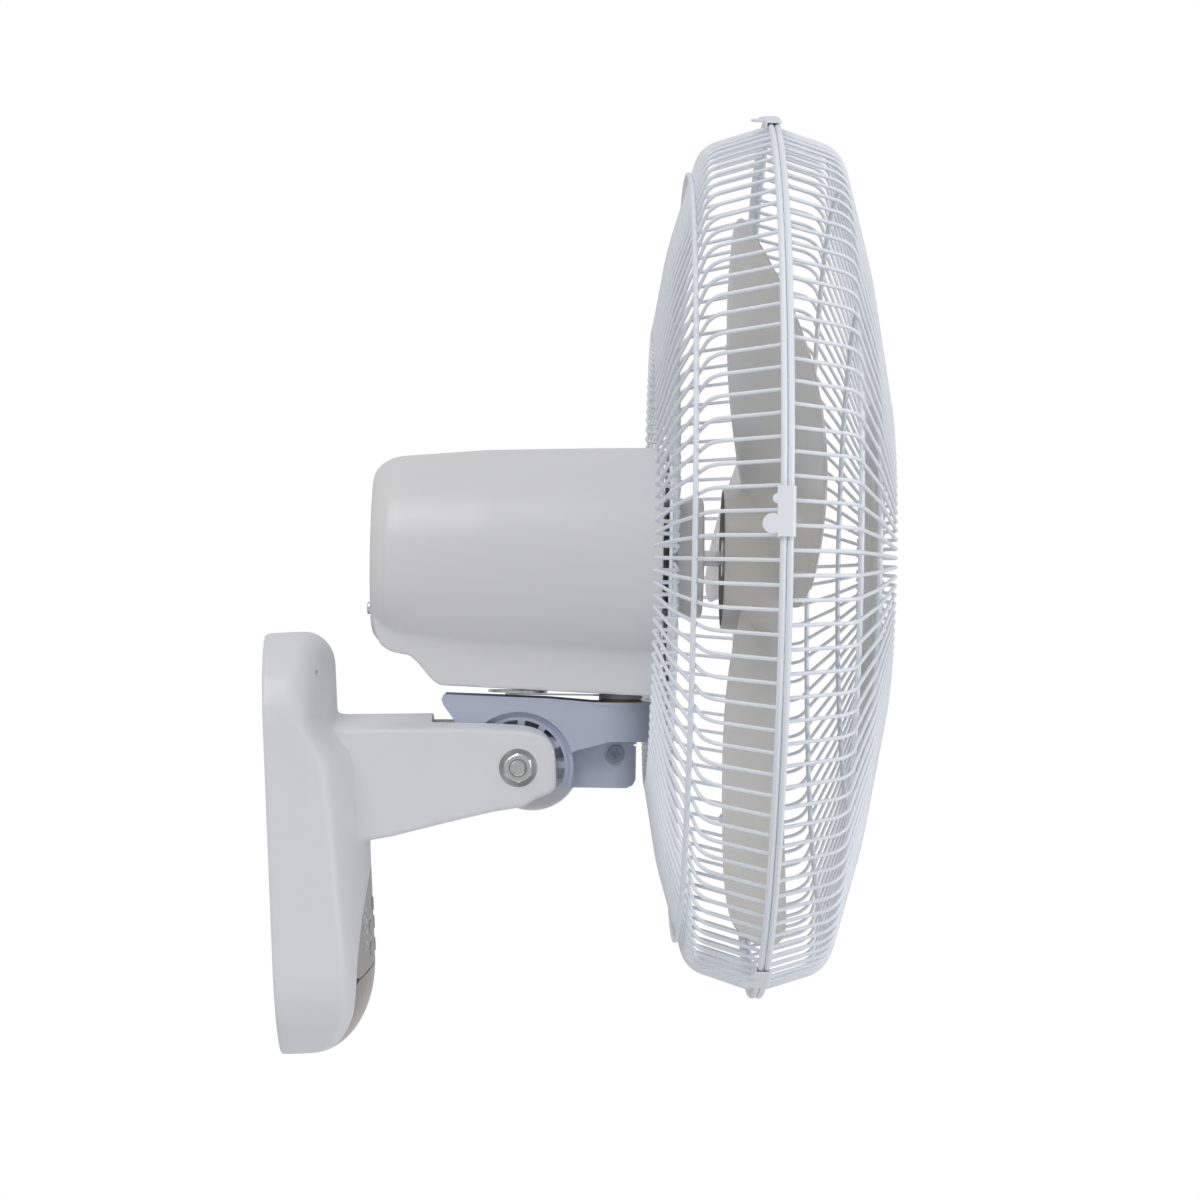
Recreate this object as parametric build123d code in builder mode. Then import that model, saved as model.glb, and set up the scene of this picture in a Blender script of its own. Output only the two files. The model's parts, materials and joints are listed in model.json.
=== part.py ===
"""Wall mounted fan, 400 mm blades, with a swinging, tipping head on a short wall arm.

Frame: X to the right as seen from in front, Z up, and the fan faces -Y. The wall is
the plane Y = 0, and the origin is the middle of the casing's face on the wall.

Two sets of stations are used. On the base, "out" is the distance from the wall. On
the head, "ahead" is the distance in front of the tilt pivot, along the fan's axis.
The head is drawn level and is tipped about the pivot when it is written.
"""
import os
from math import acos, atan2, cos, degrees, hypot, radians, sin, sqrt, tan

from build123d import *

os.makedirs("parts", exist_ok=True)

# ---------------------------------------------------------------- clearances
RUNNING = 0.05          # radial gap of a shaft in its bush
SLIDING = 0.2           # gap round a key or a loose cover
FREE = 0.3              # gap between faces that pass each other

# ---------------------------------------------------------------- wall casing
CASING_WIDTH = 118.0
CASING_HEIGHT = 211.4
CASING_CORNER = 46.0    # corner radius of the outline on the wall
CASING_DEPTH = 47.6     # out to the middle of the front
CASING_SIDE = 31.0      # depth of the flat sides, before the front curves over
CASING_WALL = 2.6
DOME_DEPTH = 33.6       # out to the front of the upper part, above the arm
DOME_SIDE = 13.0        # depth of the sides there
DOME_STEP_TOP = 62.0    # height where the step under the dome starts
DOME_STEP_DROP = 22.0   # height of that step
DOME_ROUND = 17.0       # height over which the dome curves back at its top
DOME_ROUND_DEPTH = 15.0
FOOT_ROUND = 45.0       # height over which the front curves back at the foot
FOOT_ROUND_DEPTH = 31.0
# heights of the drawn sections, as shares of half the casing's height
SECTION_SHARES = (
    -0.998, -0.985, -0.96, -0.915, -0.85, -0.74, -0.56, -0.3, 0.0, 0.25, 0.38,
    0.45, 0.52, 0.59, 0.68, 0.78, 0.86, 0.92, 0.96, 0.985, 0.998,
)

# wall plate, back cover and their fixings
PLATE_WIDTH = 76.0
PLATE_HEIGHT = 190.0
PLATE_CORNER = 26.0
PLATE_GAUGE = 1.6
WALL_HOLE_X = 50.0
WALL_HOLE_Z = 120.0
WALL_HOLE_RADIUS = 2.75
COVER_OUT = 2.0         # out to the back of the cover
COVER_GAUGE = 2.8
HOOK_SIDE = 24.0
HOOK_UP = 40.0
HOOK_WIDTH = 12.0
POST_SPOTS = ((-44.0, 74.0), (44.0, 74.0), (-46.0, -76.0), (46.0, -76.0))
COVER_SCREW_RADIUS = 1.4
COVER_SCREW_HEAD = 3.0
COVER_SCREW_HEIGHT = 1.5
COVER_SCREW_LENGTH = 12.0
CORD_HOLE_UP = -20.0
CORD_HOLE_RADIUS = 5.0
FIXING_UP = 85.4        # height of the screw through the dome
FIXING_RADIUS = 2.0
FIXING_HEAD = 3.3
FIXING_SEAT = 22.0      # out to the seat under its head

# ---------------------------------------------------------------- arm and tilt pivot
ARM_HALF = 34.0         # half width of the arm
ARM_CREST_ROOT = 64.4   # height of the arm's crest at the casing
ARM_SLOPE = 5.0         # degrees that the top falls towards the pivot
ARM_CROWN = 7.0         # height of the arm's crown above its sides
ARM_FOOT_ROOT = 1.0     # height of the arm's underside at the casing
PIVOT_OUT = 124.3
PIVOT_UP = 34.0
EAR_HEAD = 21.0         # reach of the near ear round the pivot
FAR_EAR_RADIUS = 24.8
FAR_EAR_AHEAD = 6.7
FORK_START = 82.0       # out to the root of that slot
EAR_BOSS_RADIUS = 19.5
PIVOT_BOLT_RADIUS = 4.0
NUT_ACROSS_FLATS = 13.0
NUT_HEIGHT = 6.5
NUT_RECESS_RADIUS = 9.5
NUT_RECESS_DEPTH = 4.6
WASHER_THICKNESS = 1.2
WASHER_BRIM = 0.6       # radius of the washer beyond the nut's flats

# ---------------------------------------------------------------- head
TILT_REST = 3.3         # degrees that the head hangs nose down at rest
AXIS_UP = 106.2         # shaft above the pivot
SWING_AHEAD = 51.0      # upright swing axis ahead of the pivot

# tilt bracket
BRACKET_HALF = 24.7
BRACKET_WALL = 4.0
BRACKET_TOP = 34.6
BRACKET_TAIL = 39.0     # length behind the pivot
BRACKET_FLOOR = 15.0    # top of the channel's floor above the pivot
BRACKET_NOSE = 65.7     # front of the channel, which is round as seen from above
NOSE_BOTTOM = 13.2
NOSE_TOP = 33.0
LEDGE_START = 37.4      # the ledge round the nose starts here, ahead of the pivot
LEDGE_BOTTOM = 31.4
LEDGE_PROUD = 0.6
NOSE_RIB_AHEAD = 49.4
NOSE_RIB_WIDTH = 1.6
NOSE_RIB_HEIGHT = 4.0
DISC_RADIUS = 25.0
DISC_RECESS = 2.0       # depth of the disc's face below the wall's face
DISC_BOTTOM = -9.8      # the disc is cut off level here
GROOVE_RADIUS = 27.6
DISC_WINDOWS = 13
WINDOW_INNER = 18.6
WINDOW_OUTER = 23.4
WINDOW_SPOKE = 3.5      # width left between two windows
BARREL_RADIUS = 14.2
BARREL_BOTTOM = 13.0
BARREL_TOP = 32.4
BARREL_BORE = 8.0
BARREL_FLANGE = 15.2
LUG_HALF = 9.7          # half width of the lug inside the lobe
LOBE_HALF = 12.0
LOBE_NOSE = 59.3
LOBE_BOTTOM = -10.3
LOBE_WALL = 2.0
CLAMP_SCREW_AHEAD = 49.0
CLAMP_SCREW_UP = 7.0
CLAMP_SCREW_RADIUS = 2.0
CLAMP_HEAD = 4.4
CLAMP_HEAD_HEIGHT = 1.1
CLAMP_RECESS = 5.9      # radius of the recess round the clamp screw

# swing drive: the crank turns under the gearbox and the link holds it to the bracket
SWING = 40.0            # degrees that the head swings to each side
CRANK_BEHIND = 52.0     # crank shaft behind the swing axis
CRANK_RADIUS = 15.0
CRANK_SHAFT = 3.0
CRANK_BOTTOM = 36.8     # underside of the crank disc above the pivot
CRANK_TOP = 38.0
ANCHOR_REACH = 16.0     # fixed pin of the link from the swing axis
ANCHOR_TURN = 60.0      # degrees from straight behind the axis, to the right
LINK_BOTTOM = 35.4
LINK_TOP = 36.2
LINK_HALF = 3.0
LINK_PIN = 1.8
SWING_BOSS = 11.0
SWING_POST = 6.5
POST_BOTTOM = 10.8
RETAINER_BOTTOM = 11.6
RETAINER_RADIUS = 8.6

FORK_HALF = BRACKET_HALF + FREE     # half width of the slot between the arm's ears

# motor
HOUSING_BACK = -75.5
HOUSING_FRONT = 70.0
HOUSING_FRONT_RADIUS = 55.5
HOUSING_WALL = 2.4
HOUSING_SCREW_SPOTS = ((-9.0, -28.0), (9.0, -28.0))
HOUSING_SCREW_RADIUS = 1.5
GEARCASE_HALF = 29.0    # half width of the block under the motor
GEARCASE_REAR_UP = 40.4
GEARCASE_FRONT_UP = 36.6
STATOR_RADIUS = 44.0
STATOR_START = 8.0
STATOR_END = 40.0
ROTOR_RADIUS = 24.0
AIR_GAP = 0.5
SHAFT_RADIUS = 4.0
SHAFT_TAIL = -48.0
SHAFT_NOSE = 137.0
SHIELD_RADIUS = 47.0
SHIELD_SEAM = 24.0
SHIELD_FLANGE = 52.8
GEARBOX_BACK = -44.5    # rear of the swing gearbox, inside the housing's slope
BEARING_RADIUS = 11.0
CRADLE_UP = 43.1        # underside of the cradle's floor above the pivot
CRADLE_FLOOR = 3.0
CRADLE_BACK = -40.0
COLLAR_RADIUS = 21.0
NUT_RING_RADIUS = 30.0
NUT_RING_START = 77.6
NUT_RING_LENGTH = 13.4

# guards
SEAM_AHEAD = 120.5      # plane between the two guards
RING_RADIUS = 219.7     # centre line of the outer rings
RING_WIRE = 1.55
WIRE_RADIUS = 0.95
HOOP_WIRE = 1.3
HOOP_GAP = 0.1
WIRES = 120
REAR_PHASE = -0.7       # angle of the first rear wire above the horizontal
FRONT_PHASE = 0.5
REAR_RIM_RADIUS = 112.6
REAR_RIM_AHEAD = 63.8
REAR_HOOP_RADIUS = 192.8
REAR_DISH_AHEAD = 75.4  # plane of the recessed middle
PLATE_RADIUS = 58.0
PLATE_THICKNESS = 1.6
PLATE_SCREW_CIRCLE = 37.0
FRONT_RIM_RADIUS = 84.0
FRONT_RIM_AHEAD = 181.8
FRONT_DISH_AHEAD = 176.2
FRONT_HOOP_RADII = (186.3, 133.5)
BADGE_RADIUS = 47.0
CLIPS = 5
CLIP_FIRST = 5.0        # angle of the clip nearest the horizontal
CLIP_LENGTH = 23.0
CLIP_TAB = 4.6          # radius of the round thumb tab
CLIP_GAUGE = 1.0
CLIP_GAP = 0.35
HOOK_END = 40.0         # the hook ends at this angle above the fan's axis

# blades
BLADES = 3
BLADE_FIRST = 27.0      # middle of the first blade above the horizontal
BLADE_RADIUS = 195.0
HUB_RADIUS = 37.0
HUB_BACK = 101.0
HUB_FRONT = 131.0
HUB_WALL = 2.6
BLADE_HALF_SPAN = 33.0  # degrees from the blade's middle to each end of its rim
# the blade's section at the hub and at the rim, as (across the blade, ahead)
ROOT_LINE = ((-62, 138.0), (-35, 131.0), (0, 119.5), (35, 106.5), (66, 97.0))
TIP_LINE = ((-118, 130.0), (-60, 140.5), (0, 134.0), (60, 117.0), (126, 100.5))
PIN_AHEAD = HUB_BACK + 2.4
PIN_RADIUS = 1.5

# control panel
PANEL_TIP_UP = -14.0
PANEL_HALF = 47.0
PANEL_SEAM_UP = -62.5
PANEL_THICKNESS = 1.6
LENS_BACK = 16.5        # out to the end of the lens under the foot
KEY_SPOTS = ((0.0, -33.0), (-15.0, -43.5), (15.0, -43.5), (-15.0, -54.5), (15.0, -54.5))
KEY_TRAVEL = 1.0
KEY_LENGTH = 11.0
KEY_HEIGHT = 6.4
KEY_STEM_RADIUS = 1.6
BOARD_OUT = 26.0
BOARD_GAUGE = 1.6
BOARD_UP = -54.0
BOARD_WIDTH = 76.0
BOARD_HEIGHT = 60.0
BOARD_POST_X = 68.0
BOARD_POST_Z = 50.0
SWITCH_HEIGHT = 5.0

# ---------------------------------------------------------------- planes
WALL = Plane(origin=(0, 0, 0), x_dir=(1, 0, 0), z_dir=(0, -1, 0))
SIDE = Plane(origin=(0, 0, 0), x_dir=(0, -1, 0), z_dir=(-1, 0, 0))
PIVOT = Vector(0, -PIVOT_OUT, PIVOT_UP)
HEAD_SIDE = Plane(origin=PIVOT, x_dir=(0, -1, 0), z_dir=(-1, 0, 0))
FAN_ORIGIN = PIVOT + Vector(0, 0, AXIS_UP)
FAN_SIDE = Plane(origin=FAN_ORIGIN, x_dir=(0, -1, 0), z_dir=(-1, 0, 0))
FAN_AXIS = Axis(FAN_ORIGIN, (0, -1, 0))
TILT_AXIS = Axis(PIVOT, (1, 0, 0))
FLAT = Plane(origin=FAN_ORIGIN, x_dir=(0, -1, 0), z_dir=(0, 0, -1))


def wall_plane(out):
    """The upright plane at a distance out from the wall, facing the room."""
    return WALL.offset(out)


def fan_plane(ahead):
    """The plane square to the fan's axis at a station ahead of the pivot."""
    return Plane(origin=FAN_ORIGIN + Vector(0, -ahead, 0), x_dir=(1, 0, 0), z_dir=(0, -1, 0))


def head_plan(up):
    """The level plane at a height above the pivot: local X ahead, local Y to the right."""
    return Plane(origin=PIVOT + Vector(0, 0, up), x_dir=(0, -1, 0), z_dir=(0, 0, 1))


def pivot_plane(side):
    """The upright plane square to the tilt axis at a distance to the right."""
    return Plane(origin=PIVOT + Vector(side, 0, 0), x_dir=(0, -1, 0), z_dir=(-1, 0, 0))


def save(shape, label, tipped=False):
    """Write one piece under its name, tipped about the pivot if it belongs to the head."""
    piece = shape.rotate(TILT_AXIS, TILT_REST) if tipped else shape
    piece.label = label
    export_step(piece, f"parts/{label}.step")


def ring_of(shape, count, first=0.0):
    """Copies of a piece in equal steps round the fan's axis."""
    step = 360.0 / count
    copies = [shape.rotate(FAN_AXIS, -(first + step * k)) for k in range(count)]
    return Compound(children=copies)


# ================================================================ wall casing
def curve_back(rise, height, depth):
    """How far a quarter-ellipse rounding has drawn back at a rise above its start."""
    share = min(max(rise / height, 0.0), 1.0)
    return depth * (1 - sqrt(1 - share * share))


def casing_section(up):
    """Half width, side depth and middle depth of the casing at a height."""
    half_height = CASING_HEIGHT / 2
    straight = half_height - CASING_CORNER
    beyond = max(abs(up) - straight, 0.0)
    half = CASING_WIDTH / 2 - CASING_CORNER + sqrt(max(CASING_CORNER**2 - beyond**2, 0.0))
    share = min(max((DOME_STEP_TOP - up) / DOME_STEP_DROP, 0.0), 1.0)
    blend = share * share * (3 - 2 * share)
    middle = DOME_DEPTH + (CASING_DEPTH - DOME_DEPTH) * blend
    middle -= curve_back(up - half_height + DOME_ROUND, DOME_ROUND, DOME_ROUND_DEPTH)
    middle -= curve_back(-up - half_height + FOOT_ROUND, FOOT_ROUND, FOOT_ROUND_DEPTH)
    slope = min(max((DOME_STEP_TOP - up) / (DOME_STEP_TOP + half_height / 2), 0.0), 1.0)
    side = DOME_SIDE + (CASING_SIDE - DOME_SIDE) * slope**0.6
    return half, min(side, middle * 0.72), middle


def casing_form(inset, open_back=False):
    """The casing's outer form without the arm, drawn in by inset on every side."""
    half_height = CASING_HEIGHT / 2
    back = 1.0 if open_back else -inset
    with BuildPart() as form:
        for share in SECTION_SHARES:
            half, side, middle = casing_section(share * half_height)
            half -= inset
            side -= inset / 2
            middle -= inset
            with BuildSketch(Plane.XY.offset(share * (half_height - inset))):
                with BuildLine():
                    Polyline((half, -side), (half, back), (-half, back), (-half, -side))
                    EllipticalCenterArc(
                        (0, -side), half, middle - side, start_angle=180, arc_size=180
                    )
                make_face()
        loft(ruled=True)
    return form.part


def shell_layer(outer, inner):
    """The skin between two drawn-in forms of the casing."""
    with BuildPart() as layer:
        add(casing_form(outer))
        add(casing_form(inner), mode=Mode.SUBTRACT)
    return layer.part


def leaf_prism(grow, low=-130.0, high=20.0):
    """A prism through the front with the leaf outline of the panel and its lens."""
    half = PANEL_HALF + grow
    tip = PANEL_TIP_UP + grow * 1.4
    with BuildPart() as prism:
        with BuildSketch(wall_plane(LENS_BACK)):
            with BuildLine():
                ThreePointArc((0, tip), (half * 0.66, tip - 19.0), (half, PANEL_SEAM_UP))
                ThreePointArc((half, PANEL_SEAM_UP), (half * 0.84, -88.0), (half * 0.36, -103.5))
                Polyline((half * 0.36, -103.5), (half * 0.3, -125), (0, -125), (0, tip))
            make_face()
            mirror(about=Plane.YZ)
            with BuildSketch(mode=Mode.INTERSECT):
                with BuildLine():
                    ThreePointArc((-70, low - 12.0), (0, low), (70, low - 12.0))
                    Line((70, low - 12.0), (70, high - 12.0))
                    ThreePointArc((70, high - 12.0), (0, high), (-70, high - 12.0))
                    Line((-70, high - 12.0), (-70, low - 12.0))
                make_face()
        extrude(amount=60)
    return prism.part


def screw(plane, head_radius, head_height, shank_radius, shank_length):
    """A pan head screw: the head stands on the plane, the shank goes behind it."""
    with BuildPart() as piece:
        with BuildSketch(plane):
            Circle(head_radius)
        extrude(amount=head_height)
        top = piece.edges().filter_by(GeomType.CIRCLE).group_by(Axis(plane.origin, plane.z_dir))[-1]
        fillet(top, head_height * 0.45)
        with BuildSketch(plane):
            Circle(shank_radius)
        extrude(amount=-shank_length)
        with BuildSketch(plane.offset(head_height)):
            Rectangle(head_radius * 1.1, head_radius * 0.26)
            Rectangle(head_radius * 0.26, head_radius * 1.1)
        extrude(amount=-head_height * 0.6, mode=Mode.SUBTRACT)
    return piece.part


# ---------------------------------------------------------------- wall plate
with BuildPart() as wall_plate:
    with BuildSketch(WALL):
        RectangleRounded(PLATE_WIDTH, PLATE_HEIGHT, PLATE_CORNER)
        with GridLocations(WALL_HOLE_X, WALL_HOLE_Z, 2, 2):
            Circle(WALL_HOLE_RADIUS, mode=Mode.SUBTRACT)
        with Locations((0, FIXING_UP)):
            Circle(FIXING_RADIUS + RUNNING, mode=Mode.SUBTRACT)
        with Locations((0, CORD_HOLE_UP)):
            Circle(CORD_HOLE_RADIUS + 4, mode=Mode.SUBTRACT)
    extrude(amount=PLATE_GAUGE)
    with BuildSketch(wall_plane(PLATE_GAUGE)):
        with Locations((-HOOK_SIDE, HOOK_UP), (HOOK_SIDE, HOOK_UP)):
            Rectangle(HOOK_WIDTH, PLATE_GAUGE)
    extrude(amount=COVER_OUT + COVER_GAUGE + SLIDING)
    with BuildSketch(wall_plane(COVER_OUT + COVER_GAUGE + SLIDING)):
        with Locations((-HOOK_SIDE, HOOK_UP + 2.4), (HOOK_SIDE, HOOK_UP + 2.4)):
            Rectangle(HOOK_WIDTH, PLATE_GAUGE + 4.8)
    extrude(amount=PLATE_GAUGE)
save(wall_plate.part, "wall_plate")

# ---------------------------------------------------------------- back cover
with BuildPart() as back_cover:
    add(casing_form(CASING_WALL + SLIDING, open_back=True))
    with BuildSketch(wall_plane(COVER_OUT)):
        Rectangle(CASING_WIDTH, CASING_HEIGHT)
    extrude(amount=COVER_GAUGE, mode=Mode.INTERSECT)
    with BuildSketch(wall_plane(COVER_OUT)):
        with Locations((0, FIXING_UP)):
            Circle(FIXING_RADIUS + FREE)
        with Locations((-HOOK_SIDE, HOOK_UP + 1.2), (HOOK_SIDE, HOOK_UP + 1.2)):
            Rectangle(HOOK_WIDTH + 1.0, PLATE_GAUGE + 6.6)
        with Locations(*POST_SPOTS):
            Circle(COVER_SCREW_RADIUS + SLIDING)
        with Locations((0, CORD_HOLE_UP)):
            Circle(CORD_HOLE_RADIUS)
    extrude(amount=COVER_GAUGE, mode=Mode.SUBTRACT)
    with BuildSketch(wall_plane(COVER_OUT)):
        with Locations(*POST_SPOTS):
            Circle(COVER_SCREW_HEAD + SLIDING)
    extrude(amount=COVER_SCREW_HEIGHT + 0.1, mode=Mode.SUBTRACT)
save(back_cover.part, "back_cover")

with BuildPart() as cord_grommet:
    with BuildSketch(wall_plane(COVER_OUT - 1.5)):
        with Locations((0, CORD_HOLE_UP)):
            Circle(CORD_HOLE_RADIUS + 1.8)
    extrude(amount=1.4)
    with BuildSketch(wall_plane(COVER_OUT - 0.5)):
        with Locations((0, CORD_HOLE_UP)):
            Circle(CORD_HOLE_RADIUS - RUNNING)
    extrude(amount=COVER_GAUGE + 1)
    with BuildSketch(wall_plane(COVER_OUT + COVER_GAUGE + 0.1)):
        with Locations((0, CORD_HOLE_UP)):
            Circle(CORD_HOLE_RADIUS + 1.8)
    extrude(amount=1.4)
    with BuildSketch(wall_plane(0)):
        with Locations((0, CORD_HOLE_UP)):
            Circle(CORD_HOLE_RADIUS - 1.8)
    extrude(amount=20, mode=Mode.SUBTRACT)
save(cord_grommet.part, "cord_grommet")

cover_screws = [
    screw(
        Plane(origin=(x, -COVER_OUT - COVER_SCREW_HEIGHT - 0.1, z), x_dir=(1, 0, 0), z_dir=(0, 1, 0)),
        COVER_SCREW_HEAD, COVER_SCREW_HEIGHT, COVER_SCREW_RADIUS, COVER_SCREW_LENGTH,
    )
    for x, z in POST_SPOTS
]
save(Compound(children=cover_screws), "cover_screws")

# ---------------------------------------------------------------- arm
arm_tip = PIVOT_OUT + EAR_HEAD * 0.89
arm_top_at = ARM_CREST_ROOT - tan(radians(ARM_SLOPE)) * (arm_tip - 8 - CASING_DEPTH)
root_out = CASING_WALL + 20
root_top = ARM_CREST_ROOT + tan(radians(ARM_SLOPE)) * (CASING_DEPTH - root_out)
with BuildPart() as arm:
    with BuildSketch(SIDE):
        with BuildLine():
            Polyline(
                (root_out, ARM_FOOT_ROOT - 1),
                (CASING_DEPTH, ARM_FOOT_ROOT - 1),
                (CASING_DEPTH + 5, ARM_FOOT_ROOT + 0.8),
                (PIVOT_OUT - 5, PIVOT_UP - 19.7),
                (arm_tip - 2.6, PIVOT_UP - 13.2),
            )
            ThreePointArc(
                (arm_tip - 2.6, PIVOT_UP - 13.2),
                (arm_tip - 0.8, PIVOT_UP - 12.4),
                (arm_tip, PIVOT_UP - 10.4),
            )
            Line((arm_tip, PIVOT_UP - 10.4), (arm_tip + 0.3, PIVOT_UP + 9))
            ThreePointArc(
                (arm_tip + 0.3, PIVOT_UP + 9),
                (arm_tip - 3.0, PIVOT_UP + 15.8),
                (arm_tip - 10.5, arm_top_at + 0.3),
            )
            Line((arm_tip - 10.5, arm_top_at + 0.3), (root_out, root_top))
            Line((root_out, root_top), (root_out, ARM_FOOT_ROOT - 1))
        make_face()
    extrude(amount=ARM_HALF, both=True)
    crest = Plane(
        origin=(0, -CASING_DEPTH, ARM_CREST_ROOT),
        x_dir=(1, 0, 0),
        z_dir=(0, -cos(radians(ARM_SLOPE)), -sin(radians(ARM_SLOPE))),
    )
    with BuildSketch(crest.offset(-40)):
        with BuildLine():
            ThreePointArc((-ARM_HALF, -ARM_CROWN), (0, 0), (ARM_HALF, -ARM_CROWN))
            Polyline(
                (ARM_HALF, -ARM_CROWN), (ARM_HALF, -110), (-ARM_HALF, -110), (-ARM_HALF, -ARM_CROWN)
            )
        make_face()
    extrude(amount=200, mode=Mode.INTERSECT)
    with BuildSketch(Plane(origin=PIVOT + Vector(FORK_HALF, 0, 0), x_dir=(0, 1, 0), z_dir=(1, 0, 0))):
        with Locations((-FAR_EAR_AHEAD, 0)):
            Circle(FAR_EAR_RADIUS)
    extrude(amount=ARM_HALF - FORK_HALF)

# ---------------------------------------------------------------- casing with its arm
with BuildPart() as base_casing:
    add(casing_form(0))
    add(arm.part)
    with BuildSketch(SIDE):
        with BuildLine():
            Line((DOME_DEPTH - 4, ARM_CREST_ROOT - 4), (DOME_DEPTH - 4, ARM_CREST_ROOT + 14.0))
            Line((DOME_DEPTH - 4, ARM_CREST_ROOT + 14.0), (DOME_DEPTH - 0.2, ARM_CREST_ROOT + 14.0))
            ThreePointArc(
                (DOME_DEPTH - 0.2, ARM_CREST_ROOT + 14.0),
                (DOME_DEPTH + 3.2, ARM_CREST_ROOT + 4.4),
                (DOME_DEPTH + 13.0, ARM_CREST_ROOT),
            )
            Line((DOME_DEPTH + 13.0, ARM_CREST_ROOT), (DOME_DEPTH - 4, ARM_CREST_ROOT - 4))
        make_face()
    extrude(amount=ARM_HALF * 0.62, both=True)
    add(casing_form(CASING_WALL, open_back=True), mode=Mode.SUBTRACT)
    with BuildSketch(SIDE):
        Polygon(
            (CASING_DEPTH - 20, 6), (CASING_DEPTH + 6, 6), (FORK_START - 6, 13),
            (FORK_START - 6, 50), (CASING_DEPTH - 20, 52), align=None,
        )
    extrude(amount=ARM_HALF - 3.2, both=True, mode=Mode.SUBTRACT)
    # slot between the ears: straight above, round the bracket's discs below
    with BuildSketch(SIDE):
        with Locations((FORK_START + 50, PIVOT_UP + 44)):
            Rectangle(100, 80)
        with Locations((PIVOT_OUT, PIVOT_UP)):
            Circle(GROOVE_RADIUS + 1.6)
        with Locations((PIVOT_OUT + 50, PIVOT_UP - 10)):
            Rectangle(100, 100)
    extrude(amount=FORK_HALF, both=True, mode=Mode.SUBTRACT)
    # round pads inside the ears, against the bracket's discs
    for side in (-1, 1):
        with BuildSketch(pivot_plane(side * (BRACKET_HALF - DISC_RECESS + FREE))):
            Circle(EAR_BOSS_RADIUS)
        extrude(amount=-side * (FORK_HALF - BRACKET_HALF + DISC_RECESS - FREE + 0.5))
    with BuildSketch(pivot_plane(0)):
        Circle(PIVOT_BOLT_RADIUS + RUNNING)
    extrude(amount=ARM_HALF + 5, both=True, mode=Mode.SUBTRACT)
    for side in (-1, 1):
        with BuildSketch(pivot_plane(side * (ARM_HALF + 1))):
            Circle(NUT_RECESS_RADIUS)
        extrude(amount=side * (NUT_RECESS_DEPTH + 1), mode=Mode.SUBTRACT)
    # posts for the cover's screws, the board and the fixing screw
    with BuildPart(mode=Mode.PRIVATE) as posts:
        with BuildSketch(wall_plane(COVER_OUT + COVER_GAUGE)):
            with Locations(*POST_SPOTS):
                Circle(4.2)
            with Locations((0, FIXING_UP)):
                Circle(6.0)
        extrude(amount=CASING_DEPTH)
        with BuildSketch(wall_plane(BOARD_OUT + BOARD_GAUGE)):
            with Locations((0, BOARD_UP)):
                with GridLocations(BOARD_POST_X, BOARD_POST_Z, 2, 2):
                    Circle(2.6)
        extrude(amount=CASING_DEPTH)
        add(casing_form(CASING_WALL * 0.5), mode=Mode.INTERSECT)
    add(posts.part)
    with BuildSketch(wall_plane(0)):
        with Locations(*POST_SPOTS):
            Circle(COVER_SCREW_RADIUS + RUNNING)
    extrude(amount=COVER_OUT + COVER_GAUGE + COVER_SCREW_LENGTH, mode=Mode.SUBTRACT)
    with BuildSketch(wall_plane(0)):
        with Locations((0, FIXING_UP)):
            Circle(FIXING_RADIUS + RUNNING)
    extrude(amount=FIXING_SEAT, mode=Mode.SUBTRACT)
    with BuildSketch(wall_plane(FIXING_SEAT)):
        with Locations((0, FIXING_UP)):
            Circle(FIXING_HEAD + SLIDING)
    extrude(amount=CASING_DEPTH, mode=Mode.SUBTRACT)
    # rebate for the panel and its lens, with a window behind
    rebate = leaf_prism(SLIDING) & shell_layer(-2.0, PANEL_THICKNESS)
    add(rebate, mode=Mode.SUBTRACT)
    window = leaf_prism(-3.0, low=-96.0) & casing_form(-2.0)
    add(window, mode=Mode.SUBTRACT)
save(base_casing.part, "base_casing")

# ---------------------------------------------------------------- control panel and lens
key_plane = wall_plane(BOARD_OUT + BOARD_GAUGE + SWITCH_HEIGHT + KEY_TRAVEL + 0.1)
panel_skin = shell_layer(0.0, PANEL_THICKNESS)
with BuildPart() as control_panel:
    add(leaf_prism(0, low=PANEL_SEAM_UP + 0.3) & panel_skin)
    with BuildSketch(wall_plane(0)):
        for x, z in KEY_SPOTS:
            with Locations((x, z)):
                SlotOverall(KEY_LENGTH + 2 * SLIDING, KEY_HEIGHT + 2 * SLIDING)
    extrude(amount=80, mode=Mode.SUBTRACT)
save(control_panel.part, "control_panel")

with BuildPart() as ir_lens:
    add(leaf_prism(0, high=PANEL_SEAM_UP - 0.3) & panel_skin)
save(ir_lens.part, "ir_lens")

key_skin = shell_layer(-0.5, PANEL_THICKNESS + 0.4)
for number, (x, z) in enumerate(KEY_SPOTS, start=1):
    with BuildPart() as key:
        with BuildSketch(wall_plane(BOARD_OUT)):
            with Locations((x, z)):
                SlotOverall(KEY_LENGTH, KEY_HEIGHT)
        extrude(amount=60)
        add(key_skin, mode=Mode.INTERSECT)
        with BuildPart(mode=Mode.PRIVATE) as stem:
            with BuildSketch(key_plane):
                with Locations((x, z)):
                    Circle(KEY_STEM_RADIUS)
            extrude(amount=60)
            add(casing_form(0.5), mode=Mode.INTERSECT)
        add(stem.part)
    save(key.part, f"key_{number}")

# ---------------------------------------------------------------- inside the casing
with BuildPart() as circuit_board:
    with BuildSketch(wall_plane(BOARD_OUT)):
        with Locations((0, BOARD_UP)):
            RectangleRounded(BOARD_WIDTH, BOARD_HEIGHT, 3)
    extrude(amount=BOARD_GAUGE)
save(circuit_board.part, "circuit_board")

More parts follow.
